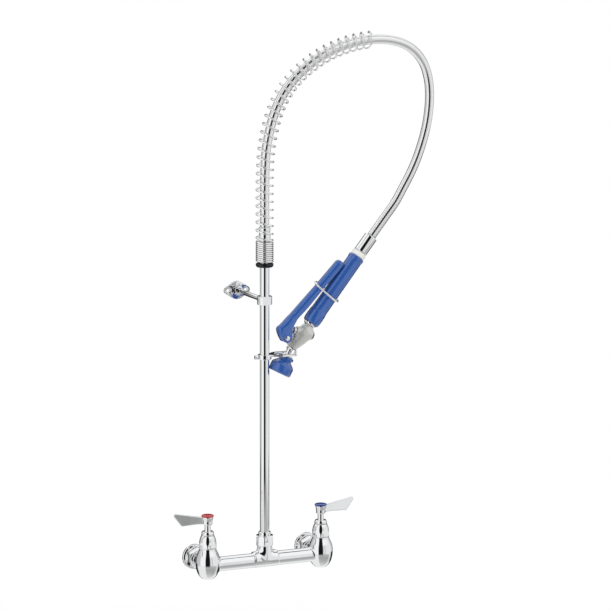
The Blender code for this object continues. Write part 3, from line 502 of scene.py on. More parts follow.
def mixing_body():
    parts = [turned_shape(oblong(0, tube_radius, hot_x, cold_x), at(0, riser_mm, -tube_drop, ACROSS))]
    pear = drawn_smooth([(13.5, 27.4), (14.4, 24.5), (16.4, 20.0), (18.5, 15.0), (19.8, 9.5), (20.2, 3.9),
                         (19.8, -3.5), (18.6, -9.5), (16.6, -15.0), (13.7, -19.6), (9.8, -23.4)], 3)
    arm = [(0, 0), (11.8, 0), (11.8, 32.4), (10.6, 33.0), (10.6, 45.0), (0, 45.0)]
    for x in (hot_x, cold_x):
        parts.append(turned_shape([(0, 27.4)] + pear + [(0, -23.4)], at(x, riser_mm, 0)))
        parts.append(turned_shape(arm, at(x, riser_mm, 0, BACK)))
    flare = drawn_smooth([(12.2, 22.0), (12.5, 18.5), (14.0, 14.4), (16.6, 10.4), (19.4, 7.0)], 3)
    parts.append(turned_shape([(0, 22.0)] + flare + [(19.4, -3.0), (0, -3.0)], at(0, riser_mm, 0), narrow=0.64))
    hub = [(0, -20.5), (12.4, -20.5), (12.8, -19.8), (12.8, 19.8), (12.4, 20.5), (0, 20.5)]
    parts.append(turned_shape(hub, at(0, riser_mm, 0, ACROSS)))
    spigot = [(0, 0), (11.9, 0), (11.9, 22.4), (9.9, 22.6), (9.9, 33.0), (0, 33.0)]
    parts.append(turned_shape(spigot, at(0, riser_mm, 0)))
    add_piece("mixing_body", casting_mesh(parts, fillet=2.6, cell=1.0), "base", cast_chrome, "faucet_body")


mixing_body()

# ---- Valves ----
# In each valve body a brass cartridge turns in a threaded bonnet: a plated hexagon with a domed top,
# closed by a small round packing nut. Cartridge, spindle and seat ring sit inside.
# Turned from bar and plated, so a cleaner mirror than the casting.
turned_chrome = metal_finish("chrome_on_turned_brass", "chrome", "#F4F5F6", 0.02, 0.05, 34.0, 0.02)
# Bare brass off the lathe: yellow, with fine rings from the tool.
turned_brass = metal_finish("turned_brass", "brass", "#D9B36A", 0.20, 0.12, 0.6, 0.004)


def moulded_finish(name, slot, tint, shade, roughness, grain, depth, coat=0.0):
    """Moulded rubber or plastic with its slot: two close tints, its gloss, the mould's grain in millimetres."""
    material, add, shader = new_material(name)
    place = add("ShaderNodeTexCoord").outputs["Object"]
    clouds = add("ShaderNodeTexNoise", {"Vector": place, "Scale": 45.0, "Detail": 4.0})
    tints = add("ShaderNodeMix", {"Factor": clouds, "A": colour(tint), "B": colour(shade)}, data_type="RGBA")
    dull = add("ShaderNodeMapRange", {"Value": clouds, "From Min": 0.3, "From Max": 0.7,
                                      "To Min": roughness - 0.04, "To Max": roughness + 0.06})
    pores = add("ShaderNodeTexNoise", {"Vector": place, "Scale": 1000.0 / grain, "Detail": 2.0})
    bump = add("ShaderNodeBump", {"Height": pores, "Strength": 1.0, "Distance": depth * millimetre})
    set_sockets(shader, {"Base Color": tints, "Roughness": dull, "Normal": bump, "Coat Weight": coat,
                         "Coat Roughness": 0.12})
    return material, slot


# Nitrile rubber: near black and matt, from a spark-eroded mould.
black_nitrile = moulded_finish("moulded_black_nitrile", "black_rubber", "#1B1B1C", "#262627", 0.6, 0.5, 0.02)


def turned_piece(name, node, body, finish, place, profile, **how):
    """A piece off the lathe, which stands for one solid."""
    add_piece(name, lathe_mesh(profile, place, **how), body, finish, node)


def hexagon_nut(across, profile, place, *cuts, bevel=0.35, clock=0.0):
    """A hexagon turned to a profile at its ends, then cut or joined as the cuts say."""
    heights = [height for _, height in profile]
    corners = arc((0, 0), across / math.sqrt(3), 90 + clock, 390 + clock, 5)
    bar = prism_mesh(corners, min(heights) - 1, max(heights) + 1, place)
    nut = machined(bar, (lathe_mesh(profile, place, edge=0.6), "INTERSECT"), *cuts)
    return machined(nut, bevel=bevel)


def arc(centre, radius, start, end, steps=12):
    angles = [math.radians(start + (end - start) * i / steps) for i in range(steps + 1)]
    return [(centre[0] + radius * math.cos(a), centre[1] + radius * math.sin(a)) for a in angles]


def bore(radius, low, high, place):
    return lathe_mesh(oblong(0, radius, low, high), place, sides=48, edge=0)


nut_clock = -24.0                                  # the upright nuts stand with a corner to the front

for side, x in (("hot", hot_x), ("cold", cold_x)):
    upright = at(x, riser_mm, 0)
    dome = [(0, 49.0), (10.2, 49.0)] + drawn_smooth([(11.6, 46.8), (12.9, 43.2), (13.7, 38.7)], 3)
    dome += [(15.0, 36.5), (15.7, 34.0), (15.7, 29.2), (14.6, 27.7), (0, 27.7)]
    bonnet = hexagon_nut(28.0, dome, upright, (bore(9.2, 17.0, 30.0, upright), "UNION"),
                         bore(5.5, 10.0, 60.0, upright), clock=nut_clock)
    add_piece(side + "_valve_bonnet", bonnet, "base", turned_chrome, side + "_bonnet")
    packing = [(5.4, 49.3), (10.2, 49.3), (10.4, 50.0), (10.2, 53.4), (8.9, 55.8), (5.4, 55.8)]
    turned_piece(side + "_stuffing_nut", side + "_packing_nut", "base", turned_chrome, upright, packing,
                 edge=0.7)
    insert = [(4.4, 16.6), (9.2, 16.6), (9.2, -8.0), (3.0, -8.0), (3.0, 6.0), (4.4, 6.0)]
    turned_piece(side + "_valve_insert", side + "_cartridge", "base", turned_brass, upright, insert)
    seat = oblong(5.0, 9.2, -11.6, -8.3)
    turned_piece(side + "_seat_ring", side + "_seat_seal", "base", black_nitrile, upright, seat, edge=0.8)

# ---- Handles ----
# A die-cast lever with a round hub on the spindle's square: a flat blade that thins towards a slanted,
# rounded tip. A screw holds it, under a snap-in disc: red for hot, blue for cold.
# ABS discs straight from a polished mould: clear strong colour and a wet gloss.
red_abs = moulded_finish("moulded_red_abs", "red_plastic", "#C2262B", "#B81F26", 0.22, 1.2, 0.004, 0.5)
blue_abs = moulded_finish("moulded_blue_abs", "blue_plastic", "#1F3F94", "#1B3888", 0.22, 1.2, 0.004, 0.5)
# Stainless screws: grey, with a soft tumbled shine.
stainless = metal_finish("tumbled_stainless_steel", "steel", "#C6C7C8", 0.20, 0.08, 2.0, 0.01)

hub = [(0, 80.0), (8.7, 80.0), (9.1, 79.6), (9.1, 78.6)]
hub += drawn_smooth([(8.6, 77.4), (8.1, 75.6), (7.8, 73.0), (7.6, 68.0)], 3) + [(6.9, 66.6), (0, 66.6)]
blade = [(0, 67.9), (20.0, 69.0)] + arc((44.6, 71.4), 3.6, -88, -38) + arc((56.2, 86.2), 3.4, -38, 98)
blade += [(8.0, 79.8), (0, 79.8)]
recess = [(0, 90.0), (4.4, 90.0), (4.4, 77.0), (3.7, 77.0), (3.7, 60.0), (0, 60.0)]
spindle = [(0, 76.0), (3.4, 76.0), (3.4, 66.2), (5.1, 66.2), (5.1, 18.0), (4.0, 17.0), (4.0, 7.0), (0, 7.0)]
screw = [(0, 79.4), (3.0, 79.4), (3.8, 78.6), (3.8, 77.3), (1.8, 77.3), (1.8, 64.0), (0, 64.0)]
button = [(0, 83.3), (5.0, 83.2), (8.6, 82.9), (9.8, 82.4), (10.2, 81.6), (10.2, 80.8), (9.8, 80.4), (0, 80.4)]
for side, x, turn, disc in (("hot", hot_x, math.pi, red_abs), ("cold", cold_x, 0.0, blue_abs)):
    upright = at(x, riser_mm, 0)
    flat = at(x, riser_mm, 0, Matrix.Rotation(turn, 4, "Z") @ OVER_BACK)
    body = side + "_handle_body"
    lever = casting_mesh([turned_shape(hub, upright), slab_shape(blade, 2.15, flat, 0.9, thinning=0.02)],
                         fillet=2.0, cell=0.6)
    lever = machined(lever, lathe_mesh(recess, upright, edge=0), sharp=50)
    add_piece(side + "_lever", lever, body, cast_chrome, side + "_handle")
    turned_piece(side + "_stem", side + "_spindle", body, turned_chrome, upright, spindle)
    turned_piece(side + "_lever_screw", side + "_handle_screw", body, stainless, upright, screw, sides=40)
    turned_piece(side + "_disc", side + "_index_button", body, disc, upright, button, edge=0.3)

# ---- Wall inlets ----
# Each valve body is drawn to a plated wall flange by a hexagon coupling nut, over a fibre washer. The
# flange is turned, with a stepped rim that stands against the wall.
ends = [(0, 33.3), (17.0, 33.3), (19.2, 34.6), (19.2, 49.0), (17.0, 50.4), (0, 50.4)]
washer = oblong(6.6, 10.2, 45.5, 46.7)
rim = [(6.6, 47.0), (10.4, 47.0), (10.4, 50.7), (17.0, 50.7), (17.6, 54.2), (20.2, 54.8), (21.0, 55.8),
       (21.0, 59.4), (20.4, 60.0), (9.0, 60.0), (9.0, 48.6), (6.6, 48.6)]
for side, x in (("hot", hot_x), ("cold", cold_x)):
    back = at(x, riser_mm, 0, BACK)
    nut = hexagon_nut(34.0, ends, back, bore(11.2, 30.0, 54.0, back), bevel=0.5)
    add_piece(side + "_coupling_nut", nut, "base", turned_chrome, side + "_inlet_nut")
    turned_piece(side + "_coupling_washer", side + "_inlet_washer", "base", black_nitrile, back, washer,
                 edge=0.3)
    turned_piece(side + "_wall_flange", side + "_inlet_flange", "base", turned_chrome, back, rim,
                 sides=96, edge=0.5)

# ---- Riser ----
# A drawn and plated brass pipe. A hexagon union nut with a round neck holds its flared foot on the
# body's spigot, over a soft packing ring.
# Drawn pipe is straight along its length, so its reflections are clean stripes.
drawn_chrome = metal_finish("chrome_on_drawn_pipe", "chrome", "#F4F5F6", 0.025, 0.03, 16.0, 0.012, (1, 1, 0.06))

pipe_clearance = 8.0                               # radius of what slides or clamps on the 15.4 mm pipe
upright = at(0, riser_mm, 0)
ends = [(0, 22.7), (13.4, 22.7), (15.5, 24.0), (15.5, 38.2), (13.4, 39.7), (0, 39.7)]
neck = lathe_mesh([(0, 30.0), (10.2, 30.0), (10.2, 44.6), (9.4, 45.8), (0, 45.8)], upright, edge=0.6)
thread = [(0, 50), (pipe_clearance, 50), (pipe_clearance, 36.4), (10.5, 36.4), (10.5, 20), (0, 20)]
union_nut = hexagon_nut(27.6, ends, upright, (neck, "UNION"), lathe_mesh(thread, upright, edge=0),
                        bevel=0.5, clock=nut_clock)
add_piece("union_nut", union_nut, "base", turned_chrome, "riser_nut")
turned_piece("riser_packing", "riser_washer", "base", black_nitrile, upright,
             oblong(8.0, 9.9, 33.4, 36.0))
turned_piece("riser_tube", "riser_pipe", "base", drawn_chrome, upright,
             oblong(5.6, 7.7, 10.0, 503.0), sides=96)

# ---- Wall bracket ----
# A plated collar, milled flat in front and clamped on the pipe by a small grub screw, with a round stay
# screwed into its boss; at the wall a two-hole cast plate on the stay, locked by a thin hexagon nut.
bracket_height, plate_distance, stay_radius, hole_spacing = 431.4, 115.0, 4.0, 32.0
stay_clearance = stay_radius + 0.5
centre = at(0, riser_mm, bracket_height)
backwards, sideways = centre @ BACK, centre @ Matrix.Rotation(-math.pi / 2, 4, "Y")
collar = casting_mesh([
    turned_shape([(0, -7.0), (11.6, -7.0), (12.2, -6.4), (12.2, 6.4), (11.6, 7.0), (0, 7.0)], centre),
    turned_shape([(0, 0), (5.8, 0), (5.8, 19.2), (5.2, 20.0), (0, 20.0)], backwards)], fillet=2.2, cell=0.6)
front = prism_mesh([(-20, -9.9), (-20, -20), (20, -20), (20, -9.9)], -10, 10, centre)
collar = machined(collar, bore(pipe_clearance, -20, 20, centre), bore(stay_clearance, 12, 24, backwards),
                  bore(2.3, 7, 16, sideways), front, sharp=30)
add_piece("bracket_collar", collar, "bracket", cast_chrome, "bracket_ring")
turned_piece("bracket_grub_screw", "bracket_set_screw", "bracket", stainless, sideways,
             [(0, 8.1), (2.0, 8.1), (2.0, 12.0), (1.1, 12.0), (1.1, 10.2), (0, 10.2)], sides=32, edge=0.2)
turned_piece("bracket_stay", "bracket_rod", "bracket", turned_chrome, backwards,
             oblong(0, stay_radius, 12.3, 116.0), edge=0.5)
ends = [(0, 104.0), (7.2, 104.0), (8.2, 104.9), (8.2, 111.8), (7.2, 112.7), (0, 112.7)]
lock_nut = hexagon_nut(14.6, ends, backwards, bore(stay_clearance, 100, 116, backwards), bevel=0.3)
add_piece("bracket_lock_nut", lock_nut, "bracket", turned_chrome, "bracket_nut")
middle, end, reach, slant = 15.3, 5.8, 17.4, 57.0
diamond = arc((reach, 0), end, -slant, slant) + arc((0, 0), middle, slant + 1, 179 - slant, 20)
diamond += arc((-reach, 0), end, 180 - slant, 180 + slant) + arc((0, 0), middle, 181 + slant, 359 - slant, 20)
sunk = [(0, 100), (5.0, 100), (5.0, 112.6), (2.6, 114.6), (2.6, 120), (0, 120)]
holes = [lathe_mesh(sunk, at(x, 0, 0) @ backwards, sides=40, edge=0)
         for x in (-hole_spacing / 2, hole_spacing / 2)]
wall_plate = prism_mesh(diamond, -2.0, 2.0, at(0, riser_mm + plate_distance, bracket_height, OVER_BACK))
wall_plate = machined(wall_plate, bore(stay_clearance, 100, 120, backwards), *holes, bevel=0.7)
add_piece("bracket_wall_plate", wall_plate, "bracket", cast_chrome, "bracket_flange")

# ---- Finger hook ----
# A plated forked plate on a collar, in which the sprayer hangs by its neck; its two prongs turn up at
# their tips. A thumb screw holds the collar on the pipe.
plate_height, collar_height, screw_height = 340.0, 338.4, 337.9
half_gap, prong, hook_reach = 12.0, 6.0, 50.5
hook_base = at(0, riser_mm, collar_height)
lying = at(0, riser_mm, screw_height, Matrix.Rotation(-math.pi / 2, 4, "Y"))
fork = arc((30.0, 0), half_gap, 90, 270, 24) + [(hook_reach, -half_gap), (hook_reach, -half_gap - prong)]
fork += [(24.0, -18.5), (12.0, -11.0), (4.0, -9.5), (4.0, 9.5), (12.0, 11.0), (24.0, 18.5)]
fork += [(hook_reach, half_gap + prong), (hook_reach, half_gap)]
parts = [slab_shape(fork, 1.6, at(0, riser_mm, plate_height), 0.8),
         turned_shape([(0, 3.4), (10.8, 3.4), (11.2, 2.9), (11.2, -3.8), (10.8, -4.3), (0, -4.3)], hook_base)]
for side in (-1, 1):
    tip_centre = at(hook_reach - 1.7, riser_mm + side * (half_gap + prong / 2), collar_height + 5.6)
    parts.append(slab_shape(oblong(-1.7, 1.6, -2.95, 2.95), 5.3, tip_centre, 0.8))
hook = machined(casting_mesh(parts, fillet=1.6, cell=0.55), bore(pipe_clearance, -20, 20, hook_base),
                bore(2.2, 6, 16, lying), sharp=50)
add_piece("fork_hook", hook, "hook", cast_chrome, "finger_hook")
thumb = [(0, 17.4), (3.2, 17.4), (3.8, 16.6), (3.8, 12.4), (3.3, 11.6), (1.9, 11.6), (1.9, 8.2), (0, 8.2)]
turned_piece("hook_thumb_screw", "hook_thumbscrew", "hook", turned_chrome, lying, thumb, sides=48)

# ---- Spring seat and hose fittings ----
# On the pipe's top a rolled steel collar takes the spring, and inside the coils a plated adapter and
# a crimped ferrule join the hose to the pipe.
# Steel blackened in hot oxide and oiled: near black, with a soft shine.
black_steel = metal_finish("black_oxide_steel", "steel", "#3A3B3E", 0.24, 0.10, 2.0, 0.01)
seat = [(8.0, 493.3), (12.6, 493.3), (14.2, 492.2), (14.6, 489.8), (13.9, 487.2), (12.2, 486.0), (8.0, 486.0)]
turned_piece("spring_collar", "spring_seat", "spring_arm", black_steel, upright, seat, edge=1.0)
adapter = [(4.6, 527.0), (8.6, 527.0), (9.3, 526.2), (9.3, 494.2), (8.0, 493.8), (8.0, 504.0), (4.6, 504.0)]
turned_piece("hose_union", "hose_adapter", "spring_arm", turned_chrome, upright, adapter, edge=0.2)
ferrule = [(4.6, 551.7), (8.3, 551.7), (9.4, 550.4), (9.4, 546.0), (8.9, 545.0), (8.9, 541.0), (9.4, 540.0),
           (9.4, 529.0), (8.4, 527.3), (4.6, 527.3)]
turned_piece("lower_crimp", "hose_lower_ferrule", "spring_arm", turned_chrome, upright, ferrule, edge=0.3)

# ---- Hose ----
# A rubber hose in a woven jacket of stainless wire, 826 mm long, from the crimped ferrule on the riser
# over the top and down to the sprayer. It bends under the spring and hangs free from there, and its far
# limb follows the sprayer off the hook.
hose_route = (
    (0, 552), (0, 580), (0, 612), (0.6, 644), (2.8, 676), (8.4, 706), (17.2, 736), (30.5, 763),
    (50.5, 788.5), (76, 810), (105, 827.5), (135, 839.5), (165, 846.8), (194, 849.6), (222, 848),
    (249, 840.5), (270, 827), (285, 808), (293.5, 785), (296.8, 760), (296, 734), (291.8, 706),
    (284.3, 678), (274, 650), (262, 625), (248.2, 601.5), (234.5, 579), (216.1, 555.8), (203, 539.5),
    (192.3, 526.2),
)
hose_radius = 7.4


def woven_wire():
    """Stainless wire in flat plaits of crossing strands: a fine bright diamond weave, with painted shade
    darkening the gaps between strands.
    Real strands are 0.25 mm; these are 1.3 mm apart, the finest that shows."""
    material, add, shader = new_material("woven_stainless_wire")
    strands_round, strands_per_mm = 22.0, 0.42
    place = add("ShaderNodeUVMap", uv_map="hose_length_and_girth")
    length, girth, _ = add("ShaderNodeSeparateXYZ", {"Vector": place}).outputs
    weave = []
    for lean in (1.0, -1.0):
        around = add("ShaderNodeMath", {0: girth, 1: lean * strands_round}, operation="MULTIPLY")
        along = add("ShaderNodeMath", {0: length, 1: strands_per_mm, 2: around}, operation="MULTIPLY_ADD")
        weave.append(add("ShaderNodeMath", {0: along, 1: 1.0}, operation="PINGPONG"))
    weave = add("ShaderNodeMath", dict(enumerate(weave)), operation="MULTIPLY")
    # Painted shade: the wire's colour darkens towards the gaps where the strands meet.
    painted_gap_shade = add("ShaderNodeMapRange", {"Value": weave, "From Min": 0.0, "From Max": 0.35})
    tints = add("ShaderNodeMix", {"Factor": painted_gap_shade, "A": colour("#E2E3E5"), "B": colour("#FEFEFE")},
                data_type="RGBA")
    bump = add("ShaderNodeBump", {"Height": weave, "Strength": 0.35, "Distance": 0.2 * millimetre})
    set_sockets(shader, {"Base Color": tints, "Metallic": 1.0, "Roughness": 0.16, "Normal": bump})
    return material, "braided_hose"


def swept_mesh(path, radius, sides, side, closed=False):
    """Sweep a round wire along points in millimetres, its first edge on the given side. Its UV map
    holds millimetres along it, and turns round it."""
    points = [Vector(p) for p in path]
    count = len(points)
    shape = bmesh.new()
    layer = shape.loops.layers.uv.new("hose_length_and_girth")
    rows, lengths, travelled = [], [], 0.0
    side = Vector(side)
    for i, point in enumerate(points):
        before = points[i - 1] if i or closed else point
        after = points[(i + 1) % count] if i < count - 1 or closed else point
        ahead = (after - before).normalized()
        side = (side - ahead * side.dot(ahead)).normalized()
        other = ahead.cross(side)
        angles = [2 * math.pi * k / sides for k in range(sides)]
        rows.append([shape.verts.new(point + (side * math.cos(a) + other * math.sin(a)) * radius)
                     for a in angles])
        travelled += (point - points[i - 1]).length if i else 0.0
        lengths.append(travelled)
    pairs = [(i, i + 1) for i in range(count - 1)] + ([(count - 1, 0)] if closed else [])
    for near, far in pairs:
        for k in range(sides):
            after = (k + 1) % sides
            face = shape.faces.new((rows[near][k], rows[near][after], rows[far][after], rows[far][k]))
            turns = (k / sides, (k + 1) / sides, (k + 1) / sides, k / sides)
            for loop, turn, row in zip(face.loops, turns, (near, near, far, far)):
                loop[layer].uv = (lengths[row], turn)
    if not closed:
        shape.faces.new(rows[0][::-1])
        shape.faces.new(rows[-1])
    return finished(shape, UP)


def along_route(route, count):
    """Evenly spaced points on the smooth curve through a route in the plane of the riser."""
    fine = np.array(drawn_smooth(route, 24))
    steps = np.concatenate([[0], np.cumsum(np.linalg.norm(np.diff(fine, axis=0), axis=1))])
    marks = np.linspace(0, steps[-1], count)
    return [(float(np.interp(m, steps, fine[:, 0])), riser_mm, float(np.interp(m, steps, fine[:, 1])))
            for m in marks], steps[-1]


hose_points, hose_length = along_route(hose_route, 331)
hose_line = add_piece("woven_hose", swept_mesh(hose_points, hose_radius, 36, (0, 1, 0)), None, woven_wire(),
                      "hose")
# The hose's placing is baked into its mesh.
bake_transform(hose_line)

# ---- Overhead spring ----
# One length of bright spring wire: nine close turns on the collar, then open turns along the hose to
# its crown, which hold the hose up and let the sprayer be pulled down.
# Hard drawn and polished wire: a thin bright line with a dark one beside it on every turn.
spring_wire = metal_finish("polished_spring_wire", "chrome", "#FCFCFC", 0.10, 0.05, 3.0, 0.004)


def new_tree(name, inputs):
    """A geometry tree with its named inputs; gives the tree, its input node's sockets and their names."""
    tree = bpy.data.node_groups.new(name, "GeometryNodeTree")
    tree.interface.new_socket("Geometry", in_out="INPUT", socket_type="NodeSocketGeometry")
    tree.interface.new_socket("Geometry", in_out="OUTPUT", socket_type="NodeSocketGeometry")
    names = {title: tree.interface.new_socket(title, in_out="INPUT", socket_type="NodeSocket" + kind).identifier
             for title, kind in inputs.items()}
    return tree, tree.nodes.new("NodeGroupInput").outputs, names


def run_tree(mesh, tree, names, sizes, finish):
    """Run a tree on a mesh with its sizes set, and keep the plain mesh that comes out."""
    add = partial(add_node, tree)
    last = next(n for n in tree.nodes if n.bl_idname == "GeometryNodeRealizeInstances")
    painted = add("GeometryNodeSetMaterial", {"Geometry": last, "Material": finish[0]})
    add("NodeGroupOutput", {"Geometry": painted})
    thing = new_object("blank", mesh)
    modifier = thing.modifiers.new(tree.name, "NODES")
    modifier.node_group = tree
    for title, size in sizes.items():
        modifier[names[title]] = size
    return baked(thing)


def coil_tree():
    """Wind a wire about the mesh line that comes in: close turns first, then open ones."""
    tree, given, names = new_tree("coil_about_a_line", {
        "Coil radius": "Float", "Wire radius": "Float", "Start length": "Float", "Close turns": "Float",
        "Close pitch": "Float", "Open pitch": "Float", "Blend turns": "Float", "Points per turn": "Float",
        "Points": "Int", "Lead-in turns": "Float"})
    add = partial(add_node, tree)
    index = add("GeometryNodeInputIndex")
    counted = add("ShaderNodeMath", {0: index, 1: given["Points per turn"]}, operation="DIVIDE")
    turn = add("ShaderNodeMath", {0: counted, 1: given["Lead-in turns"]}, operation="SUBTRACT")
    late = add("ShaderNodeMath", {0: turn, 1: given["Close turns"]}, operation="SUBTRACT")
    opened = add("ShaderNodeMath", {0: late, 1: 0.0, 2: given["Blend turns"]}, operation="SMOOTH_MAX")
    close = add("ShaderNodeMath", {0: turn, 1: given["Close pitch"], 2: given["Start length"]},
                operation="MULTIPLY_ADD")
    wider = add("ShaderNodeMath", {0: given["Open pitch"], 1: given["Close pitch"]}, operation="SUBTRACT")
    length = add("ShaderNodeMath", {0: opened, 1: wider, 2: close}, operation="MULTIPLY_ADD")
    line = add("GeometryNodeMeshToCurve", {"Mesh": given["Geometry"]})
    here = add("GeometryNodeSampleCurve", {"Curves": line, "Length": length}, mode="LENGTH").outputs
    outward = add("ShaderNodeVectorMath", {0: here["Tangent"], 1: (0, 1, 0)}, operation="CROSS_PRODUCT")
    angle = add("ShaderNodeMath", {0: turn, 1: 2 * math.pi}, operation="MULTIPLY")
    in_plane, sideways = (
        add("ShaderNodeMath", {0: add("ShaderNodeMath", {0: angle}, operation=wave),
                               1: given["Coil radius"]}, operation="MULTIPLY")
        for wave in ("COSINE", "SINE"))
    near = add("ShaderNodeVectorMath", {0: outward, "Scale": in_plane}, operation="SCALE")
    across = add("ShaderNodeCombineXYZ", {"Y": sideways})
    offset = add("ShaderNodeVectorMath", {0: near, 1: across}, operation="ADD")
    place = add("ShaderNodeVectorMath", {0: here["Position"], 1: offset}, operation="ADD")
    row = add("GeometryNodeMeshLine", {"Count": given["Points"]})
    wound = add("GeometryNodeSetPosition", {"Geometry": row, "Position": place})
    wire = add("GeometryNodeMeshToCurve", {"Mesh": wound})
    section = add("GeometryNodeCurvePrimitiveCircle", {"Resolution": 12, "Radius": given["Wire radius"]},
                  mode="RADIUS")
    solid = add("GeometryNodeCurveToMesh", {"Curve": wire, "Fill Caps": True, "Profile Curve": section})
    add("GeometryNodeRealizeInstances", {"Geometry": solid})
    return tree, names


spring_start, turns_shown, points_per_turn, lead_in = 493.8, 42.15, 24, 0.57
hose_under_spring = [(x, z) for x, z in hose_route if x < 230.0]
centre_line = drawn_smooth([(0.0, spring_start - 20.0), (0.0, 520.0)] + hose_under_spring, 24)
line_mesh = bpy.data.meshes.new("spring_centre_line")
line_mesh.from_pydata([(x * millimetre, riser_y, z * millimetre) for x, z in centre_line],
                      [(i, i + 1) for i in range(len(centre_line) - 1)], [])
coil_mesh = run_tree(line_mesh, *coil_tree(), {
    "Coil radius": 13.2 * millimetre, "Wire radius": 1.48 * millimetre, "Start length": 23.1 * millimetre,
    "Close turns": 9.75, "Close pitch": 3.35 * millimetre, "Open pitch": 13.15 * millimetre,
    "Blend turns": 1.2, "Points per turn": float(points_per_turn), "Lead-in turns": lead_in,
    "Points": int((turns_shown + lead_in) * points_per_turn)}, spring_wire)
add_piece("coil_spring", smooth(coil_mesh, 60.0), "spring_arm", spring_wire, "overhead_spring")

# ---- Hose end and handle ----
# The hose ends in a plated sleeve that swivels in the handle over a white acetal collar. The handle is
# a plated tube in a dipped blue rubber grip with a collar at its top and a swelling at its foot.
# Acetal: milky white and softly waxy.
white_acetal = moulded_finish("moulded_white_acetal", "white_plastic", "#EFEFEC", "#E9E9E6", 0.34, 1.5, 0.004)
# Plastisol rubber, dipped or moulded: strong blue under a clear wet gloss.
blue_rubber = moulded_finish("moulded_blue_rubber", "blue_rubber", "#2A5BA9", "#2555A1", 0.20, 0.7, 0.004, 1.0)

handle_lean = 38.7
handle_axis = at(166.0, riser_mm, 493.4, Matrix.Rotation(math.radians(handle_lean), 4, "Y"))
across_handle = OVER_BACK
sleeve = [(4.4, 41.4), (8.2, 41.4), (10.6, 40.6), (11.1, 39.4), (11.1, 9.8), (10.4, 8.7), (6.2, 8.7),
          (6.2, -13.0), (4.4, -13.0)]
turned_piece("hose_end_ferrule", "hose_end_sleeve", "hose_end", turned_chrome, handle_axis, sleeve, edge=0.6)
collar = [(6.5, 8.4), (11.1, 8.4), (12.1, 7.4), (12.1, 0.6), (11.1, -0.4), (6.5, -0.4)]
turned_piece("acetal_collar", "swivel_collar", "sprayer", white_acetal, handle_axis, collar, edge=0.6)
barrel = [(6.6, -0.8), (9.4, -0.8), (9.4, -135.0), (10.2, -135.3), (10.2, -137.2), (9.4, -139.0), (4.6, -139.0),
          (4.6, -16.0), (6.6, -16.0)]
turned_piece("handle_barrel", "handle_tube", "sprayer", turned_chrome, handle_axis, barrel, edge=0.3)
skin = [(9.7, -0.8), (12.6, -0.8), (13.5, -1.7), (13.5, -5.8), (12.9, -7.0)]
skin += drawn_smooth([(12.95, -9.0), (13.1, -60.0), (13.45, -106.0), (14.2, -112.5), (14.5, -120.0),
                      (14.45, -127.0), (13.9, -132.2)], 4)
skin += [(12.6, -134.8), (9.7, -134.8)]
turned_piece("rubber_grip", "grip", "sprayer", blue_rubber, handle_axis, skin, edge=0.8)

# ---- Spray valve ----
# A tumbled zinc casting under the grip: an oval trunk that leans to the lever, a lug for the bolt, and a
# barrel across for the plunger, with a plated gland nut towards the lever and a cap on the other end.
# As cast and tumbled: an even light grey with a fine sandy skin and no mirror in it.
tumbled_zinc = metal_finish("tumbled_zinc_casting", "satin_casting", "#EDEDEA", 0.52, 0.08, 2.0, 0.006)

barrel_down, barrel_lean, trunk_lean = 154.9, 20.0, 7.2
lever_pivot = (-22.1, -179.5)                      # across the handle and along it
valve_axis = handle_axis @ at(0, 0, -barrel_down, Matrix.Rotation(-math.radians(90 + barrel_lean), 4, "Y"))
trunk_axis = handle_axis @ at(2.4, 0, -151.0, Matrix.Rotation(math.radians(trunk_lean), 4, "Y"))
at_pivot = handle_axis @ at(lever_pivot[0], 0, lever_pivot[1], across_handle)
handle_side = handle_axis @ across_handle
trunk = drawn_smooth([(10.6, 8.0), (12.4, 4.0), (13.2, 0.0), (13.2, -6.0), (12.4, -13.0), (11.0, -21.0),
                      (9.2, -28.0), (7.8, -33.0), (7.0, -35.4)], 3)
lug = arc(lever_pivot, 5.6, 40, 205, 16) + [(-8.0, -186.0), (0.0, -184.0), (0.0, -166.0)]
side_barrel = [(0, 14.8), (6.9, 14.8), (7.6, 13.8), (8.4, 4.0), (8.2, -14.0), (7.4, -15.0), (0, -15.0)]
casting = casting_mesh([turned_shape(oblong(0, 7.8, -139.3, -152.0), handle_axis),
                        turned_shape([(0, 10.2), (8.4, 10.2)] + trunk + [(0, -35.4)], trunk_axis, narrow=0.82),
                        turned_shape(side_barrel, valve_axis),
                        slab_shape(lug, 2.9, handle_side, 0.7)], fillet=3.6, cell=0.6)
shoulder = prism_mesh([(-4.5, -138.0), (-11.5, -150.6), (-30.0, -150.6), (-30.0, -138.0)], -20, 20, handle_side)
casting = machined(casting, shoulder)
casting = machined(casting, bore(2.6, -10, 10, at_pivot), bore(7.6, -30, -14.7, valve_axis),
                   bore(5.4, -20, 20, valve_axis), bore(4.2, -190, -138, handle_axis), sharp=50)
add_piece("spray_casting", casting, "sprayer", tumbled_zinc, "spray_valve_body")
turned_piece("plunger_gland_nut", "valve_gland_nut", "sprayer", turned_chrome, valve_axis,
             oblong(2.9, 6.2, 15.1, 19.0), edge=1.0)
cap = [(0, -9.0), (5.1, -9.0), (5.1, -15.3), (6.8, -15.3), (6.8, -17.2), (6.0, -18.0), (0, -18.0)]
turned_piece("casting_cap", "valve_cap", "sprayer", black_nitrile, valve_axis, cap)
turned_piece("plunger_gland", "valve_seal", "sprayer", black_nitrile, valve_axis,
             oblong(2.7, 5.1, 9.0, 13.0), edge=0.6)
rod_end = 24.9
rod = [(0, rod_end), (1.9, rod_end), (2.4, 24.1), (2.4, 0.5), (4.8, -0.5), (4.8, -2.2), (2.0, -2.4),
       (2.0, -4.0), (0, -4.0)]
turned_piece("plunger_rod", "valve_plunger", "plunger", stainless, valve_axis, rod, sides=48, edge=0.3)
turns = np.linspace(0, 4, 97)
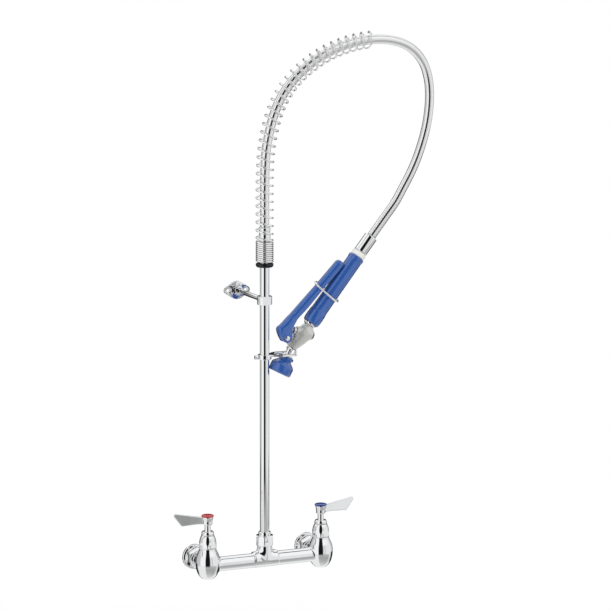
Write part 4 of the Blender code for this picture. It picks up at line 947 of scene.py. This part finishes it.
return_coil = [tuple(valve_axis @ Vector((3.7 * math.cos(2 * math.pi * t), 3.7 * math.sin(2 * math.pi * t),
                                          -8.2 + 1.3 * t))) for t in turns]
spring_steel = spring_wire[0], "steel"
add_piece("plunger_return_spring", swept_mesh(return_coil, 0.4, 10, (0, 0, 1)), "sprayer", spring_steel,
          "plunger_spring")

# ---- Squeeze lever ----
# A bright steel bar in a thick rubber cover that is open towards the grip, hinged on a bolt through the
# casting's lug. A pin through the bar bears on the plunger.
# Each station: distance below the grip's top, outer and inner height from the handle's axis, half width.
lever_stations = (
    (23.0, 22.6, 18.4, 4.6), (24.4, 24.9, 16.4, 7.0), (27.0, 26.3, 15.3, 8.4), (28.0, 26.6, 15.2, 8.7),
    (50.0, 28.7, 16.8, 8.8), (77.0, 31.4, 19.8, 8.8), (117.0, 36.1, 22.8, 8.8), (142.0, 38.9, 26.4, 8.9),
    (150.0, 40.4, 26.2, 9.8), (162.0, 41.9, 24.4, 10.0), (168.0, 43.0, 19.2, 10.0),
    (174.0, 44.6, 15.6, 10.0), (178.0, 42.6, 14.4, 10.0), (182.5, 36.4, 15.2, 9.8),
    (185.6, 30.2, 17.8, 9.5), (186.8, 25.8, 20.8, 9.0))
cover_wall, bar_clearance = 2.3, 0.4
arch_share = 0.8                                   # the most that a section's arched back takes of its height
solid_tip, hollow_blend = 26.5, 2.0                # the cover is solid to here, and then its wall thins out
bar_sinks_in = 120                                 # below here the bar's edges lie inside the cover's


def lever_arch(half, rise, foot, steps=18):
    return [(half * math.cos(math.pi * i / steps), foot + rise * math.sin(math.pi * i / steps))
            for i in range(steps + 1)]


def cover_section(down, outer, inner, half):
    """Across the cover: solid at its tip, then a wall round a hollow that is open towards the grip."""
    rise = min(half, (outer - inner) * arch_share)
    wall = min(max((down - solid_tip) / hollow_blend, 0.0), 1.0) * cover_wall
    outside = [(half, inner)] + lever_arch(half, rise, outer - rise) + [(-half, inner)]
    if wall:
        hollow = lever_arch(half - wall, rise - wall, outer - rise)[::-1]
        inside = [(wall - half, inner)] + hollow + [(half - wall, inner)]
    else:
        last = len(outside) - 1
        inside = [(half * (1.4 * i / last - 0.7), inner + 0.02) for i in range(last + 1)]
    return [(-height, y, -down) for y, height in outside + inside]


def bar_section(down, outer, inner, half):
    inset = cover_wall + bar_clearance
    rise = min(half, (outer - inner) * arch_share)
    low = inner + (bar_clearance if down >= bar_sinks_in else -bar_clearance)
    top = lever_arch(half - inset, rise - inset, outer - rise)
    return [(-height, y, -down) for y, height in [(half - inset, low)] + top + [(inset - half, low)]]


cover = loft_mesh([cover_section(*s) for s in lever_stations[:3]]
                  + [cover_section(*s) for s in drawn_smooth(lever_stations[3:], 5)], handle_axis)
cover = machined(cover, bore(2.7, -20, 20, at_pivot), bevel=0.35, sharp=50)
add_piece("lever_rubber", cover, "lever", blue_rubber, "lever_cover")
bar_stations = [(30.0, 26.8, 15.4, 8.7)] + list(lever_stations[4:-1])
pin_radius, running_gap = 2.0, 0.3
pin_out = rod_end + running_gap + pin_radius
pin_place = handle_axis @ at(-pin_out * math.cos(math.radians(barrel_lean)), 0,
                             -barrel_down - pin_out * math.sin(math.radians(barrel_lean)), across_handle)
lug_slot = prism_mesh(oblong(-60, 0, -3.4, 3.4), -200, -152, handle_axis)
bar = machined(loft_mesh([bar_section(*s) for s in drawn_smooth(bar_stations, 4)], handle_axis), lug_slot,
               bore(2.4, -20, 20, pin_place), bore(2.7, -20, 20, at_pivot), bevel=0.3)
add_piece("lever_bar", bar, "lever", turned_chrome, "lever_core")
turned_piece("lever_push_pin", "push_pin", "lever", stainless, pin_place,
             oblong(0, pin_radius, -6.9, 6.9), sides=32, edge=0.4)
bolt = [(0, 12.0), (2.6, 12.0), (3.9, 11.2), (3.9, 10.2), (2.3, 10.2), (2.3, -13.2), (0, -13.2)]
slot_turn = Matrix.Rotation(-0.67, 4, "Z")
slot = prism_mesh(oblong(-5, 5, -0.5, 0.5), 11.3, 14.0, at_pivot @ slot_turn)
add_piece("lever_bolt", machined(lathe_mesh(bolt, at_pivot, sides=48, edge=0.3), slot), "sprayer", spring_steel,
          "pivot_bolt")
ends = [(0, -13.4), (3.5, -13.4), (3.95, -12.9), (3.95, -10.7), (3.5, -10.2), (0, -10.2)]
bolt_nut = hexagon_nut(7.0, ends, at_pivot, bore(2.6, -20, 0, at_pivot), bevel=0.15)
add_piece("lever_bolt_nut", bolt_nut, "sprayer", stainless, "pivot_nut")

# ---- Hold-down ring ----
# A ring of bright wire round grip and lever, bent to a wide loop and a narrower one. Slid down, it
# holds the lever in and the water on.
ring_down, ring_lean, ring_wire = 77.0, 20.0, 1.6
loop = arc((0, 0), 16.3, 78, 282, 48) + arc((22.2, 0), 11.6, -78, 78, 30)
ring_axis = handle_axis @ at(0, 0, -ring_down, Matrix.Rotation(math.radians(ring_lean), 4, "X"))
ring_points = [tuple(ring_axis @ Vector((-height, y, 0))) for height, y in loop]
ring = swept_mesh(ring_points, ring_wire, 16, ring_axis.to_3x3() @ Vector((0, 0, 1)), closed=True)
add_piece("hold_down_ring", ring, "ring", spring_wire, "hold_ring")

# ---- Nozzle and bell ----
# Below the casting a plated stem drops through the fork into a thick rubber bell, which guards the
# spray face and takes the knocks on dishes.
nozzle_lean = 28.0
nozzle_axis = at(42.2, riser_mm, 340.6, Matrix.Rotation(math.radians(nozzle_lean), 4, "Y"))
stem = [(0, 8.4), (4.6, 8.4), (4.3, 4.0), (4.3, -3.2), (9.4, -3.8), (10.0, -4.4), (10.0, -5.8), (6.0, -5.8),
        (6.0, -22.0), (15.0, -22.2), (15.0, -26.2), (12.0, -26.2), (12.0, -24.4), (0, -24.4)]
stem = machined(lathe_mesh(stem, nozzle_axis, edge=0.3), bore(2.8, -30, 20, nozzle_axis))
add_piece("nozzle_stem", stem, "sprayer", turned_chrome, "spray_nozzle")
bell = [(6.3, -6.1), (12.0, -6.1), (12.9, -7.0), (12.9, -10.0)]
bell += drawn_smooth([(12.2, -11.2), (10.9, -12.6), (12.4, -14.6), (17.6, -19.4), (19.2, -22.2)], 4)
bell += [(19.2, -32.8), (18.4, -34.8), (17.0, -35.6), (15.4, -35.0), (15.4, -21.8), (6.3, -21.8)]
turned_piece("bell_guard", "bell_bumper", "sprayer", blue_rubber, nozzle_axis, bell,
             sides=96, edge=0.9)


def jet_tree():
    """Bore a circle of jets through the disc that comes in."""
    tree, given, names = new_tree("circle_of_jets", {"Jets": "Int", "Circle radius": "Float",
                                                     "Jet radius": "Float", "Drill length": "Float"})
    add = partial(add_node, tree)
    circle = add("GeometryNodeMeshCircle", {"Vertices": given["Jets"], "Radius": given["Circle radius"]})
    drill = add("GeometryNodeMeshCylinder", {"Vertices": 20, "Radius": given["Jet radius"],
                                             "Depth": given["Drill length"]})
    drills = add("GeometryNodeInstanceOnPoints", {"Points": circle, "Instance": drill})
    bored = add("GeometryNodeMeshBoolean", {"Mesh 1": given["Geometry"], "Mesh 2": drills},
                operation="DIFFERENCE")
    add("GeometryNodeRealizeInstances", {"Geometry": bored})
    return tree, names


face_down = 27.6
disc = lathe_mesh(oblong(2.2, 14.6, -1.0, 1.0), UP, edge=0.3)
disc = run_tree(disc, *jet_tree(), {
    "Jets": 8, "Circle radius": 9.0 * millimetre, "Jet radius": 0.8 * millimetre,
    "Drill length": 6.0 * millimetre}, stainless)
lowered = nozzle_axis @ at(0, 0, -face_down)
lowered.translation *= millimetre
disc.transform(lowered)
add_piece("jet_plate", smooth(disc), "sprayer", stainless, "spray_face")
screw = [(0, -18.0), (1.8, -18.0), (1.8, -28.9), (3.6, -28.9), (3.6, -30.2), (2.6, -31.0), (0, -31.0)]
turned_piece("jet_plate_screw", "face_screw", "sprayer", stainless, nozzle_axis, screw, sides=40, edge=0.3)
